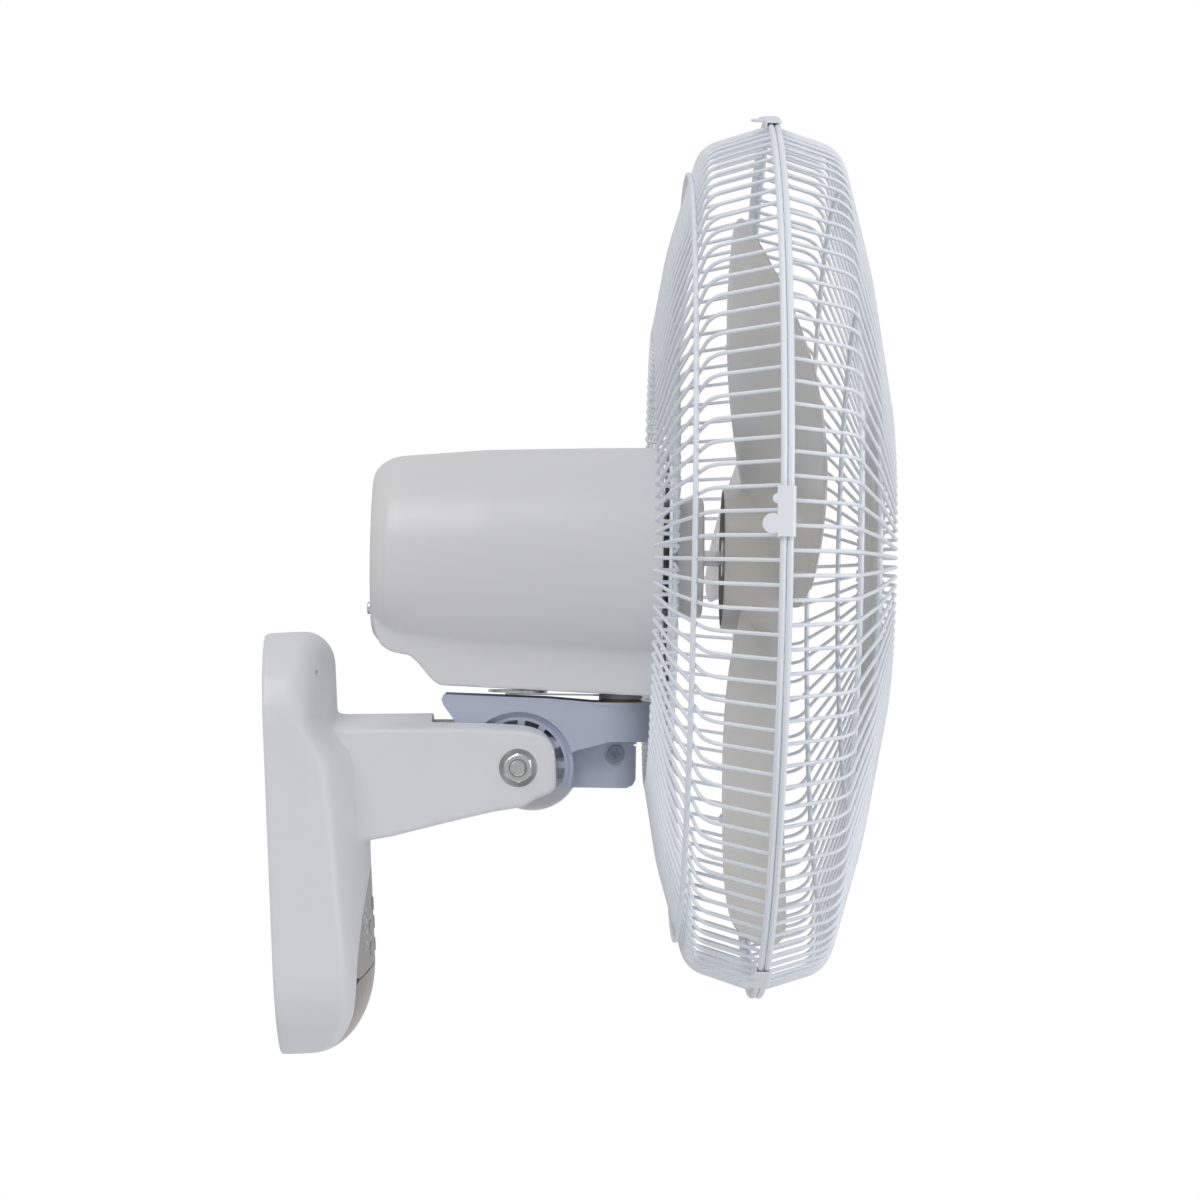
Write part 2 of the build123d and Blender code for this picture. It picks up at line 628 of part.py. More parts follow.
with BuildPart() as tact_switches:
    with BuildSketch(wall_plane(BOARD_OUT + BOARD_GAUGE)):
        with Locations(*KEY_SPOTS):
            Rectangle(6, 6)
    extrude(amount=SWITCH_HEIGHT - 1.2)
    with BuildSketch(wall_plane(BOARD_OUT + BOARD_GAUGE)):
        with Locations(*KEY_SPOTS):
            Circle(1.7)
    extrude(amount=SWITCH_HEIGHT)
save(tact_switches.part, "tact_switches")

with BuildPart() as ir_receiver:
    with BuildSketch(wall_plane(BOARD_OUT + BOARD_GAUGE)):
        with Locations((0, -78)):
            Rectangle(7, 8)
    extrude(amount=5.2)
    with BuildSketch(wall_plane(BOARD_OUT + BOARD_GAUGE + 5.2)):
        with Locations((0, -78)):
            Circle(2.6)
    extrude(amount=1.6)
save(ir_receiver.part, "ir_receiver")

with BuildPart() as run_capacitor:
    with BuildSketch(wall_plane(COVER_OUT + COVER_GAUGE)):
        with Locations((16, 14)):
            RectangleRounded(38, 28, 3)
    extrude(amount=16)
save(run_capacitor.part, "run_capacitor")

with BuildPart() as terminal_block:
    with BuildSketch(wall_plane(COVER_OUT + COVER_GAUGE)):
        with Locations((-24, 8)):
            Rectangle(32, 14)
    extrude(amount=13)
    with BuildSketch(wall_plane(COVER_OUT + COVER_GAUGE + 13)):
        with Locations((-24, 8)):
            with GridLocations(10, 0, 3, 1):
                Circle(2.4)
    extrude(amount=-8, mode=Mode.SUBTRACT)
save(terminal_block.part, "terminal_block")

save(
    screw(
        Plane(origin=(0, -FIXING_SEAT, FIXING_UP), x_dir=(1, 0, 0), z_dir=(0, -1, 0)),
        FIXING_HEAD, 2.4, FIXING_RADIUS, FIXING_SEAT - 0.2,
    ),
    "fixing_screw",
)

# ---------------------------------------------------------------- tilt pivot hardware
nut_seat = ARM_HALF - NUT_RECESS_DEPTH
with BuildPart() as pivot_bolt:
    with BuildSketch(pivot_plane(nut_seat + WASHER_THICKNESS)):
        RegularPolygon(NUT_ACROSS_FLATS / 2, 6, major_radius=False)
    extrude(amount=-5.3)
    with BuildSketch(pivot_plane(nut_seat + WASHER_THICKNESS)):
        Circle(PIVOT_BOLT_RADIUS)
    extrude(amount=2 * nut_seat + 2 * WASHER_THICKNESS + NUT_HEIGHT + 1.6)
    chamfer(pivot_bolt.faces().sort_by(Axis.X)[0].edges(), 0.8)
save(pivot_bolt.part, "pivot_bolt")

with BuildPart() as pivot_nut:
    with BuildSketch(pivot_plane(-nut_seat - WASHER_THICKNESS)):
        RegularPolygon(NUT_ACROSS_FLATS / 2, 6, major_radius=False, rotation=30)
        Circle(PIVOT_BOLT_RADIUS + RUNNING / 2, mode=Mode.SUBTRACT)
    extrude(amount=NUT_HEIGHT)
save(pivot_nut.part, "pivot_nut")

with BuildPart() as pivot_washers:
    for side in (-1, 1):
        with BuildSketch(pivot_plane(side * nut_seat)):
            Circle(NUT_ACROSS_FLATS / 2 + WASHER_BRIM)
            Circle(PIVOT_BOLT_RADIUS + RUNNING, mode=Mode.SUBTRACT)
        extrude(amount=-side * WASHER_THICKNESS)
save(pivot_washers.part, "pivot_washers")

# ================================================================ tilt bracket
reach = hypot(CRANK_BEHIND, ANCHOR_REACH)


def drive_span(swing):
    """Distance from the link's fixed pin to the crank shaft at an angle of swing."""
    turn = radians(ANCHOR_TURN + swing)
    return sqrt(reach**2 - 2 * CRANK_BEHIND * ANCHOR_REACH * cos(turn))


crank_throw = (drive_span(SWING) - drive_span(-SWING)) / 2
link_length = (drive_span(SWING) + drive_span(-SWING)) / 2
anchor_at = (
    SWING_AHEAD - ANCHOR_REACH * cos(radians(ANCHOR_TURN)),
    ANCHOR_REACH * sin(radians(ANCHOR_TURN)),
)
crank_at = (SWING_AHEAD - CRANK_BEHIND, 0.0)
span_angle = atan2(anchor_at[1], anchor_at[0] - crank_at[0])
span_cosine = (drive_span(0) ** 2 + crank_throw**2 - link_length**2) / (2 * drive_span(0) * crank_throw)
crank_angle = span_angle + acos(span_cosine)
crank_pin_at = (
    crank_at[0] + crank_throw * cos(crank_angle),
    crank_at[1] + crank_throw * sin(crank_angle),
)



def bracket_plan(grow, low, high):
    """The bracket's outline from above, grown on every side, between two heights."""
    half = BRACKET_HALF + grow
    with BuildPart() as form:
        with BuildSketch(head_plan(low)):
            with Locations((BRACKET_NOSE - BRACKET_HALF, 0)):
                Circle(half)
                Rectangle(150, 2 * half, align=(Align.MAX, Align.CENTER))
        extrude(amount=high - low)
    return form.part


with BuildPart() as cheeks:
    with BuildSketch(HEAD_SIDE):
        Circle(GROOVE_RADIUS)
        with Locations((0, DISC_BOTTOM)):
            Rectangle(80, 40, align=(Align.CENTER, Align.MAX), mode=Mode.SUBTRACT)
        Polygon(
            (-BRACKET_TAIL + 1, BRACKET_TOP + 1.1), (-BRACKET_TAIL, BRACKET_TOP - 1.4),
            (-BRACKET_TAIL + 1, 30.5), (-31.9, 22.1), (-10, 4), (20, 4), (28.5, 8.6),
            (45.2, NOSE_BOTTOM), (BRACKET_NOSE, NOSE_BOTTOM), (BRACKET_NOSE, NOSE_TOP),
            (LEDGE_START, NOSE_TOP), (13.9, BRACKET_TOP), align=None,
        )
    extrude(amount=BRACKET_HALF, both=True)
    add(bracket_plan(0, -GROOVE_RADIUS, 60), mode=Mode.INTERSECT)
    # the ledge round the nose, with a rib under it
    with BuildPart(mode=Mode.PRIVATE) as ledge:
        with BuildSketch(HEAD_SIDE):
            Polygon(
                (LEDGE_START, LEDGE_BOTTOM), (BRACKET_NOSE + 5, LEDGE_BOTTOM),
                (BRACKET_NOSE + 5, NOSE_TOP), (LEDGE_START, NOSE_TOP), align=None,
            )
            with Locations((NOSE_RIB_AHEAD, LEDGE_BOTTOM)):
                Rectangle(NOSE_RIB_WIDTH, NOSE_RIB_HEIGHT, align=(Align.CENTER, Align.MAX))
        extrude(amount=BRACKET_HALF + 5, both=True)
        add(bracket_plan(LEDGE_PROUD, 0, 60), mode=Mode.INTERSECT)
    add(ledge.part)
    add(bracket_plan(-BRACKET_WALL, BRACKET_FLOOR, 60), mode=Mode.SUBTRACT)
    add(bracket_plan(-BRACKET_WALL, -60, BRACKET_FLOOR - 3), mode=Mode.SUBTRACT)

lug_points = ((33, 2.5), (33, 14), (37.5, 14), (41.5, 10.3), (57, 10.3), (57, 2.5))
lobe_points = (
    (26, 8.2), (45.2, 12.6), (LOBE_NOSE, 12.6), (LOBE_NOSE, -6.3), (LOBE_NOSE - 1.6, -8.9),
    (LOBE_NOSE - 4.6, LOBE_BOTTOM), (26, LOBE_BOTTOM),
)


def lobe(outline, half, grow):
    """A lobe from its side outline, with a round nose, drawn in by grow."""
    with BuildPart() as form:
        with BuildSketch(HEAD_SIDE):
            Polygon(*outline, align=None)
        extrude(amount=half, both=True)
        with BuildSketch(head_plan(LOBE_BOTTOM + grow)):
            with Locations((LOBE_NOSE - grow - half, 0)):
                Circle(half)
            with Locations((LOBE_NOSE - grow - half - 25, 0)):
                Rectangle(50, 2 * half)
        extrude(amount=60, mode=Mode.INTERSECT)
    return form.part


with BuildPart() as tilt_bracket:
    add(cheeks.part)
    with BuildSketch(HEAD_SIDE):
        Circle(9)
    extrude(amount=BRACKET_HALF - DISC_RECESS, both=True)
    for side in (-1, 1):
        outward = pivot_plane(side * (BRACKET_HALF - DISC_RECESS))
        with BuildSketch(outward):
            Circle(DISC_RADIUS)
        extrude(amount=-side * 5, mode=Mode.SUBTRACT)
        with BuildSketch(pivot_plane(side * (BRACKET_HALF - DISC_RECESS - 1))):
            Circle(GROOVE_RADIUS + 0.01)
            Circle(DISC_RADIUS, mode=Mode.SUBTRACT)
        extrude(amount=-side * 5, mode=Mode.SUBTRACT)
        with BuildSketch(pivot_plane(side * (BRACKET_HALF - BRACKET_WALL - 0.1))):
            Circle(WINDOW_OUTER)
            Circle(WINDOW_INNER, mode=Mode.SUBTRACT)
            with PolarLocations((WINDOW_INNER + WINDOW_OUTER) / 2, DISC_WINDOWS, start_angle=4):
                Rectangle(8, WINDOW_SPOKE, mode=Mode.SUBTRACT)
            with Locations((0, DISC_BOTTOM + 2.0)):
                Rectangle(80, 40, align=(Align.CENTER, Align.MAX), mode=Mode.SUBTRACT)
        extrude(amount=-side * 5, mode=Mode.SUBTRACT)
    with BuildSketch(head_plan(BARREL_BOTTOM)):
        with Locations((SWING_AHEAD, 0)):
            Circle(BARREL_RADIUS)
    extrude(amount=BARREL_TOP - BARREL_BOTTOM)
    with BuildSketch(head_plan(BARREL_TOP - 1.9)):
        with Locations((SWING_AHEAD, 0)):
            Circle(BARREL_FLANGE)
        with Locations(anchor_at):
            Circle(LINK_PIN + 1.7)
    extrude(amount=1.9)
    with BuildSketch(head_plan(BARREL_BOTTOM)):
        with Locations(anchor_at):
            Circle(LINK_PIN + 1.7)
    extrude(amount=BARREL_TOP - BARREL_BOTTOM)
    add(lobe(lug_points, LUG_HALF, LOBE_HALF - LUG_HALF))
    with BuildSketch(head_plan(BARREL_BOTTOM)):
        with Locations((SWING_AHEAD, 0)):
            Circle(BARREL_BORE + RUNNING)
    extrude(amount=BARREL_TOP, mode=Mode.SUBTRACT)
    with BuildSketch(head_plan(10.3)):
        with Locations((SWING_AHEAD, 0)):
            Circle(RETAINER_RADIUS + 2 * FREE)
    extrude(amount=BARREL_BOTTOM - 10.3, mode=Mode.SUBTRACT)
    with BuildSketch(head_plan(BARREL_BOTTOM + 6)):
        with Locations(anchor_at):
            Circle(LINK_PIN)
    extrude(amount=BARREL_TOP, mode=Mode.SUBTRACT)
    with BuildSketch(HEAD_SIDE):
        Circle(PIVOT_BOLT_RADIUS + RUNNING)
        with Locations((CLAMP_SCREW_AHEAD, CLAMP_SCREW_UP)):
            Circle(CLAMP_SCREW_RADIUS)
    extrude(amount=60, both=True, mode=Mode.SUBTRACT)
save(tilt_bracket.part, "tilt_bracket", tipped=True)

with BuildPart() as barrel_cover:
    add(lobe(lobe_points, LOBE_HALF, 0))
    add(lobe(lobe_points, LOBE_HALF - LOBE_WALL, LOBE_WALL), mode=Mode.SUBTRACT)
    with BuildSketch(head_plan(POST_BOTTOM - FREE)):
        with Locations((SWING_AHEAD, 0)):
            Circle(RETAINER_RADIUS + FREE)
    extrude(amount=BARREL_TOP, mode=Mode.SUBTRACT)
    with BuildSketch(pivot_plane(-LOBE_HALF - 1)):
        with Locations((CLAMP_SCREW_AHEAD, CLAMP_SCREW_UP)):
            Circle(CLAMP_SCREW_RADIUS + SLIDING)
    extrude(amount=-10, mode=Mode.SUBTRACT)
    with BuildSketch(pivot_plane(-LOBE_HALF - 1)):
        with Locations((CLAMP_SCREW_AHEAD, CLAMP_SCREW_UP)):
            Circle(CLAMP_RECESS)
    extrude(amount=-1 - CLAMP_HEAD_HEIGHT, mode=Mode.SUBTRACT)
save(barrel_cover.part, "barrel_cover", tipped=True)

save(
    screw(
        Plane(
            origin=pivot_plane(CLAMP_HEAD_HEIGHT - LOBE_HALF - 0.05).from_local_coords(
                (CLAMP_SCREW_AHEAD, CLAMP_SCREW_UP, 0)
            ),
            x_dir=(0, -1, 0), z_dir=(-1, 0, 0),
        ),
        CLAMP_HEAD, CLAMP_HEAD_HEIGHT, CLAMP_SCREW_RADIUS - RUNNING, 18,
    ),
    "clamp_screw", tipped=True,
)

with BuildPart() as barrel_bush:
    with BuildSketch(head_plan(BARREL_BOTTOM)):
        with Locations((SWING_AHEAD, 0)):
            Circle(BARREL_BORE)
    extrude(amount=BARREL_TOP - BARREL_BOTTOM + 0.1)
    with BuildSketch(head_plan(BARREL_TOP + 0.1)):
        with Locations((SWING_AHEAD, 0)):
            Circle(SWING_BOSS)
    extrude(amount=1.6)
    with BuildSketch(head_plan(0)):
        with Locations((SWING_AHEAD, 0)):
            Circle(SWING_POST + RUNNING)
    extrude(amount=80, mode=Mode.SUBTRACT)
save(barrel_bush.part, "barrel_bush", tipped=True)

with BuildPart() as link_anchor_pin:
    with BuildSketch(head_plan(BARREL_BOTTOM + 6.2)):
        with Locations(anchor_at):
            Circle(LINK_PIN - RUNNING)
    extrude(amount=LINK_TOP + 0.5 - BARREL_BOTTOM - 6.2)
    with BuildSketch(head_plan(LINK_TOP + 0.15)):
        with Locations(anchor_at):
            Circle(LINK_PIN + 1)
    extrude(amount=0.35)
    with BuildSketch(head_plan(BARREL_TOP + 0.1)):
        with Locations(anchor_at):
            Circle(LINK_PIN + 1)
    extrude(amount=LINK_BOTTOM - BARREL_TOP - 0.3)
save(link_anchor_pin.part, "link_anchor_pin", tipped=True)

# ---------------------------------------------------------------- swing drive
lean = atan2(crank_pin_at[1] - anchor_at[1], crank_pin_at[0] - anchor_at[0])
with BuildPart() as swing_link:
    with BuildSketch(head_plan(LINK_BOTTOM)):
        middle_at = tuple((p + q) / 2 for p, q in zip(anchor_at, crank_pin_at))
        with Locations(Location((middle_at[0], middle_at[1], 0), (0, 0, degrees(lean)))):
            SlotCenterToCenter(link_length, 2 * LINK_HALF + 1.2)
        with Locations(anchor_at):
            Circle(LINK_PIN + RUNNING, mode=Mode.SUBTRACT)
    extrude(amount=LINK_TOP - LINK_BOTTOM)
save(swing_link.part, "swing_link", tipped=True)

with BuildPart() as crank_disc:
    with BuildSketch(head_plan(CRANK_BOTTOM)):
        with Locations(crank_at):
            Circle(CRANK_RADIUS)
    extrude(amount=CRANK_TOP - CRANK_BOTTOM)
    with BuildSketch(head_plan(CRANK_TOP)):
        with Locations(crank_at):
            Circle(CRANK_SHAFT)
    extrude(amount=15)
    with BuildSketch(head_plan(LINK_TOP + FREE)):
        with Locations(crank_pin_at):
            Circle(LINK_PIN)
    extrude(amount=CRANK_BOTTOM - LINK_TOP - FREE)
save(crank_disc.part, "crank_disc", tipped=True)



# ================================================================ motor housing
def housing_form(inset):
    """The motor housing with the gear case under it as a solid, drawn in by inset."""
    back = HOUSING_BACK + inset
    with BuildPart() as form:
        with BuildSketch(FAN_SIDE):
            with BuildLine():
                Polyline(
                    (back, 0), (back, 38.5 - inset), (-71.0, 44.4 - inset), (-64.0, 48.4 - inset),
                    (-18.7, 52.9 - inset), (40.0, HOUSING_FRONT_RADIUS - 0.8 - inset),
                    (HOUSING_FRONT, HOUSING_FRONT_RADIUS - inset), (HOUSING_FRONT, 0), (back, 0),
                )
            make_face()
        revolve(axis=FAN_AXIS)
        floor = GEARCASE_FRONT_UP + inset
        drop = GEARCASE_REAR_UP - GEARCASE_FRONT_UP
        with BuildSketch(HEAD_SIDE):
            Polygon(
                (-72.7 + inset, 80), (-72.7 + inset, 66.3), (-69.5 + inset, 59.0 + inset),
                (-54.9, 55.4 + inset), (-43.6, 42.2 + inset), (-39.8, floor + drop),
                (65.2, floor), (HOUSING_FRONT, floor), (HOUSING_FRONT, 80), align=None,
            )
        extrude(amount=GEARCASE_HALF - inset, both=True)
    return form.part


with BuildPart() as motor_housing:
    add(housing_form(0))
    add(housing_form(HOUSING_WALL), mode=Mode.SUBTRACT)
    with BuildSketch(fan_plane(HOUSING_BACK - 1)):
        with PolarLocations(24, 10):
            SlotOverall(16, 3)
        with Locations(*HOUSING_SCREW_SPOTS):
            Circle(HOUSING_SCREW_RADIUS + SLIDING)
    extrude(amount=6, mode=Mode.SUBTRACT)
    with BuildSketch(head_plan(0)):
        with Locations((SWING_AHEAD, 0)):
            Circle(SWING_BOSS + FREE)
        with Locations(crank_at):
            Circle(CRANK_SHAFT + 0.8)
    extrude(amount=60, mode=Mode.SUBTRACT)
save(motor_housing.part, "motor_housing", tipped=True)

with BuildPart() as motor_cradle:
    with BuildSketch(head_plan(CRADLE_UP)):
        Polygon((CRADLE_BACK, -20), (62, -20), (62, 20), (CRADLE_BACK, 20), align=None)
    extrude(amount=CRADLE_FLOOR)
    with BuildSketch(head_plan(CRADLE_UP)):
        Polygon((15, -20), (55, -20), (55, 20), (15, 20), align=None)
    extrude(amount=30)
    with BuildSketch(head_plan(BARREL_TOP + 2.0)):
        with Locations((SWING_AHEAD, 0)):
            Circle(SWING_BOSS)
    extrude(amount=CRADLE_UP + 4 - BARREL_TOP)
    with BuildSketch(fan_plane(0)):
        Circle(SHIELD_RADIUS + RUNNING)
    extrude(amount=80, mode=Mode.SUBTRACT)
    with BuildSketch(head_plan(0)):
        with Locations((SWING_AHEAD, 0)):
            Circle(SWING_POST)
        with Locations(crank_at):
            Circle(CRANK_SHAFT + 0.8)
    extrude(amount=100, mode=Mode.SUBTRACT)
save(motor_cradle.part, "motor_cradle", tipped=True)

with BuildPart() as swing_post:
    with BuildSketch(head_plan(POST_BOTTOM)):
        with Locations((SWING_AHEAD, 0)):
            Circle(SWING_POST - RUNNING / 2)
    extrude(amount=44)
    with BuildSketch(head_plan(RETAINER_BOTTOM - 0.1)):
        with Locations((SWING_AHEAD, 0)):
            Circle(SWING_POST)
            Circle(SWING_POST - 0.9, mode=Mode.SUBTRACT)
    extrude(amount=1.2, mode=Mode.SUBTRACT)
save(swing_post.part, "swing_post", tipped=True)

with BuildPart() as retaining_ring:
    with BuildSketch(head_plan(RETAINER_BOTTOM)):
        with Locations((SWING_AHEAD, 0)):
            Circle(RETAINER_RADIUS)
            Circle(SWING_POST - 0.85, mode=Mode.SUBTRACT)
    extrude(amount=1.0)
save(retaining_ring.part, "retaining_ring", tipped=True)

with BuildPart() as swing_gearbox:
    with BuildSketch(head_plan(CRADLE_UP + CRADLE_FLOOR + 0.1)):
        Polygon((GEARBOX_BACK, -16), (-14.5, -16), (-14.5, 16), (GEARBOX_BACK, 16), align=None)
    extrude(amount=76)
    with BuildSketch(head_plan(CRADLE_UP + CRADLE_FLOOR + 0.1)):
        Polygon((GEARBOX_BACK, -16), (9, -16), (9, 16), (GEARBOX_BACK, 16), align=None)
    extrude(amount=11.6)
    with BuildSketch(fan_plane(-48.5)):
        Circle(SHAFT_RADIUS + FREE)
    extrude(amount=40, mode=Mode.SUBTRACT)
    with BuildSketch(head_plan(CRADLE_UP)):
        with Locations(crank_at):
            Circle(CRANK_SHAFT + RUNNING)
    extrude(amount=13, mode=Mode.SUBTRACT)
    with BuildSketch(fan_plane(-60)):
        with Locations(*HOUSING_SCREW_SPOTS):
            Circle(HOUSING_SCREW_RADIUS)
    extrude(amount=26, mode=Mode.SUBTRACT)
save(swing_gearbox.part, "swing_gearbox", tipped=True)

housing_screws = [
    screw(
        Plane(
            origin=FAN_ORIGIN + Vector(x, -HOUSING_BACK + 0.05, up),
            x_dir=(1, 0, 0), z_dir=(0, 1, 0),
        ),
        3.2, 2.0, HOUSING_SCREW_RADIUS - RUNNING, 40,
    )
    for x, up in HOUSING_SCREW_SPOTS
]
save(Compound(children=housing_screws), "housing_screws", tipped=True)


# ================================================================ motor
def turned(points):
    """A solid turned about the fan's axis from points of station ahead and radius."""
    with BuildPart() as piece:
        with BuildSketch(FAN_SIDE):
            Polygon(*points, align=None)
        revolve(axis=FAN_AXIS)
    return piece.part


bore = SHAFT_RADIUS + RUNNING
save(
    turned((
        (STATOR_START, ROTOR_RADIUS + AIR_GAP), (STATOR_START, STATOR_RADIUS),
        (STATOR_END, STATOR_RADIUS), (STATOR_END, ROTOR_RADIUS + AIR_GAP),
    )),
    "stator_core", tipped=True,
)
windings = [
    turned(((start, 27), (start, 40), (start + 8, 40), (start + 8, 27)))
    for start in (STATOR_START - 8.1, STATOR_END + 0.1)
]
save(Compound(children=windings), "stator_winding", tipped=True)
save(
    turned((
        (STATOR_START, bore), (STATOR_START, ROTOR_RADIUS),
        (STATOR_END, ROTOR_RADIUS), (STATOR_END, bore),
    )),
    "rotor_core", tipped=True,
)

cup = STATOR_RADIUS + RUNNING
bearing_seat = BEARING_RADIUS + RUNNING
with BuildPart() as front_shield:
    add(turned((
        (SHIELD_SEAM, cup), (SHIELD_SEAM, SHIELD_RADIUS), (59, SHIELD_RADIUS), (59, COLLAR_RADIUS),
        (66, COLLAR_RADIUS), (66, SHIELD_FLANGE), (69, SHIELD_FLANGE), (69, COLLAR_RADIUS),
        (NUT_RING_START + NUT_RING_LENGTH, COLLAR_RADIUS), (NUT_RING_START + NUT_RING_LENGTH, 6),
        (64, 6), (64, bearing_seat), (56, bearing_seat), (56, cup),
    )))
    with BuildSketch(fan_plane(69)):
        with PolarLocations(PLATE_SCREW_CIRCLE, 4, start_angle=45):
            Circle(4)
    extrude(amount=REAR_DISH_AHEAD - WIRE_RADIUS - 0.1 - PLATE_THICKNESS - 0.1 - 69)
    with BuildSketch(fan_plane(66)):
        with PolarLocations(PLATE_SCREW_CIRCLE, 4, start_angle=45):
            Circle(2)
    extrude(amount=10, mode=Mode.SUBTRACT)
save(front_shield.part, "front_shield", tipped=True)
save(
    turned((
        (-11, 13), (-11, SHIELD_RADIUS), (SHIELD_SEAM - FREE, SHIELD_RADIUS), (SHIELD_SEAM - FREE, cup),
        (-8, cup), (-8, 13), (-3, 13), (-3, 6), (-6, 6), (-6, bearing_seat), (-14, bearing_seat), (-14, 13),
    )),
    "rear_shield", tipped=True,
)
for label, start, end in (("front_bearing", 56.1, 63.9), ("rear_bearing", -14, -6.1)):
    ring = turned(((start, bore), (start, BEARING_RADIUS), (end, BEARING_RADIUS), (end, bore)))
    save(ring, label, tipped=True)

with BuildPart() as shaft:
    with BuildSketch(fan_plane(SHAFT_TAIL)):
        Circle(SHAFT_RADIUS)
    extrude(amount=SHAFT_NOSE - SHAFT_TAIL)
    with BuildSketch(FAN_SIDE):
        with Locations((PIN_AHEAD, 0)):
            Circle(PIN_RADIUS + RUNNING)
    extrude(amount=20, both=True, mode=Mode.SUBTRACT)
save(shaft.part, "shaft", tipped=True)

with BuildPart() as drive_pin:
    with BuildSketch(FAN_SIDE):
        with Locations((PIN_AHEAD, 0)):
            Circle(PIN_RADIUS)
    extrude(amount=8, both=True)
save(drive_pin.part, "drive_pin", tipped=True)

# ================================================================ blades
def strip(radius, points, thickness):
    """A thin curved strip square to the blade, from points across it and ahead."""
    plane = Plane(origin=FAN_ORIGIN - Vector(radius, 0, 0), x_dir=(0, 0, 1), z_dir=(-1, 0, 0))
    upper = [(t, -ahead - thickness / 2) for t, ahead in points]
    lower = [(t, -ahead + thickness / 2) for t, ahead in points]
    with BuildSketch(plane) as face:
        with BuildLine():
            Spline(*upper)
            Line(upper[-1], lower[-1])
            Spline(*lower[::-1])
            Line(lower[0], upper[0])
        make_face()
    return face.sketch


def spot(radius, angle):
    """A point in the plane of the fan, from the radius and the angle above its left side."""
    return (-radius * cos(radians(angle)), radius * sin(radians(angle)))


with BuildPart() as blade:
    loft([strip(12, ROOT_LINE, 3.2).face(), strip(BLADE_RADIUS + 7, TIP_LINE, 1.8).face()], ruled=True)
    with BuildSketch(fan_plane(60)):
        with BuildLine():
            rim_start = spot(BLADE_RADIUS, -BLADE_HALF_SPAN)
            rim_end = spot(BLADE_RADIUS, BLADE_HALF_SPAN)
            root_start = spot(HUB_RADIUS - 1.5, -59.0)
            root_end = spot(HUB_RADIUS - 1.5, 50.0)
            ThreePointArc(rim_start, spot(BLADE_RADIUS, 0), rim_end)
            ThreePointArc(rim_end, spot(BLADE_RADIUS * 0.59, 44.0), root_end)
            Line(root_end, root_start)
            Line(root_start, rim_start)
        make_face()
    extrude(amount=120, mode=Mode.INTERSECT)

with BuildPart() as hub:
    add(turned((
        (HUB_BACK, HUB_RADIUS - HUB_WALL), (HUB_BACK, HUB_RADIUS), (HUB_FRONT - 3, HUB_RADIUS),
        (HUB_FRONT, HUB_RADIUS - 3), (HUB_FRONT, bore), (HUB_BACK, bore), (HUB_BACK, 9.5),
        (HUB_FRONT - 3, 9.5), (HUB_FRONT - 3, HUB_RADIUS - HUB_WALL),
    )))
    with BuildSketch(FAN_SIDE):
        with Locations((HUB_BACK + 1.9, 0)):
            Rectangle(4.4, 2 * PIN_RADIUS + 0.2)
    extrude(amount=12, both=True, mode=Mode.SUBTRACT)
hub_space = turned((
    (HUB_BACK - 30, 0), (HUB_BACK - 30, HUB_RADIUS - 0.6),
    (HUB_FRONT + 30, HUB_RADIUS - 0.6), (HUB_FRONT + 30, 0),
))
trimmed = blade.part - hub_space
with BuildPart() as blade_wheel:
    add(hub.part)
    for k in range(BLADES):
        add(trimmed.rotate(FAN_AXIS, -(BLADE_FIRST + 360 / BLADES * k)))
save(blade_wheel.part, "blade_wheel", tipped=True)

with BuildPart() as spinner:
    add(turned((
        (HUB_FRONT + 0.1, bore), (HUB_FRONT + 0.1, 15), (HUB_FRONT + 3, 16), (HUB_FRONT + 8, 14.5),
        (HUB_FRONT + 11.5, 10), (HUB_FRONT + 13, 0), (HUB_FRONT + 7, 0), (HUB_FRONT + 7, bore),
    )))
save(spinner.part, "spinner", tipped=True)


# ================================================================ guards
def wire(points, radii):
    """One guard wire from points of station ahead and radius, bent with the radii."""
    with BuildPart() as piece:
        with BuildLine(FLAT) as path:
            FilletPolyline(*points, radius=radii)
        start = path.line @ 0
        with BuildSketch(Plane(origin=start, z_dir=path.line % 0)):
            Circle(WIRE_RADIUS)
        sweep(path=path.line)
    return piece.part


def hoop(ahead, radius, thickness):
    """A round ring about the fan's axis."""
    with BuildPart() as piece:
        with BuildSketch(FAN_SIDE):
            with Locations((ahead, radius)):
                Circle(thickness)
        revolve(axis=FAN_AXIS)
    return piece.part


wire_top = RING_RADIUS - RING_WIRE - WIRE_RADIUS - RUNNING
rear_points = (
    (SEAM_AHEAD - 0.15, wire_top), (86.6, 206.2), (71.6, 156.0), (65.6, 121.0),
    (REAR_RIM_AHEAD, REAR_RIM_RADIUS), (REAR_DISH_AHEAD, REAR_RIM_RADIUS - 2.2),
    (REAR_DISH_AHEAD, PLATE_RADIUS - 2.0),
)
front_points = (
    (SEAM_AHEAD + 0.3, wire_top), (153.6, 206.4), (168.6, 152.0),
    (FRONT_RIM_AHEAD, FRONT_RIM_RADIUS), (FRONT_DISH_AHEAD, FRONT_RIM_RADIUS - 3.0),
    (FRONT_DISH_AHEAD, BADGE_RADIUS - 3.0),
)


def behind(outer, inner, radius):
    """Station of a hoop that lies behind the straight wire between two points."""
    slope = (inner[0] - outer[0]) / (outer[1] - inner[1])
    station = outer[0] + slope * (outer[1] - radius)
    return station - (WIRE_RADIUS + HOOP_WIRE + HOOP_GAP) * sqrt(1 + slope**2)


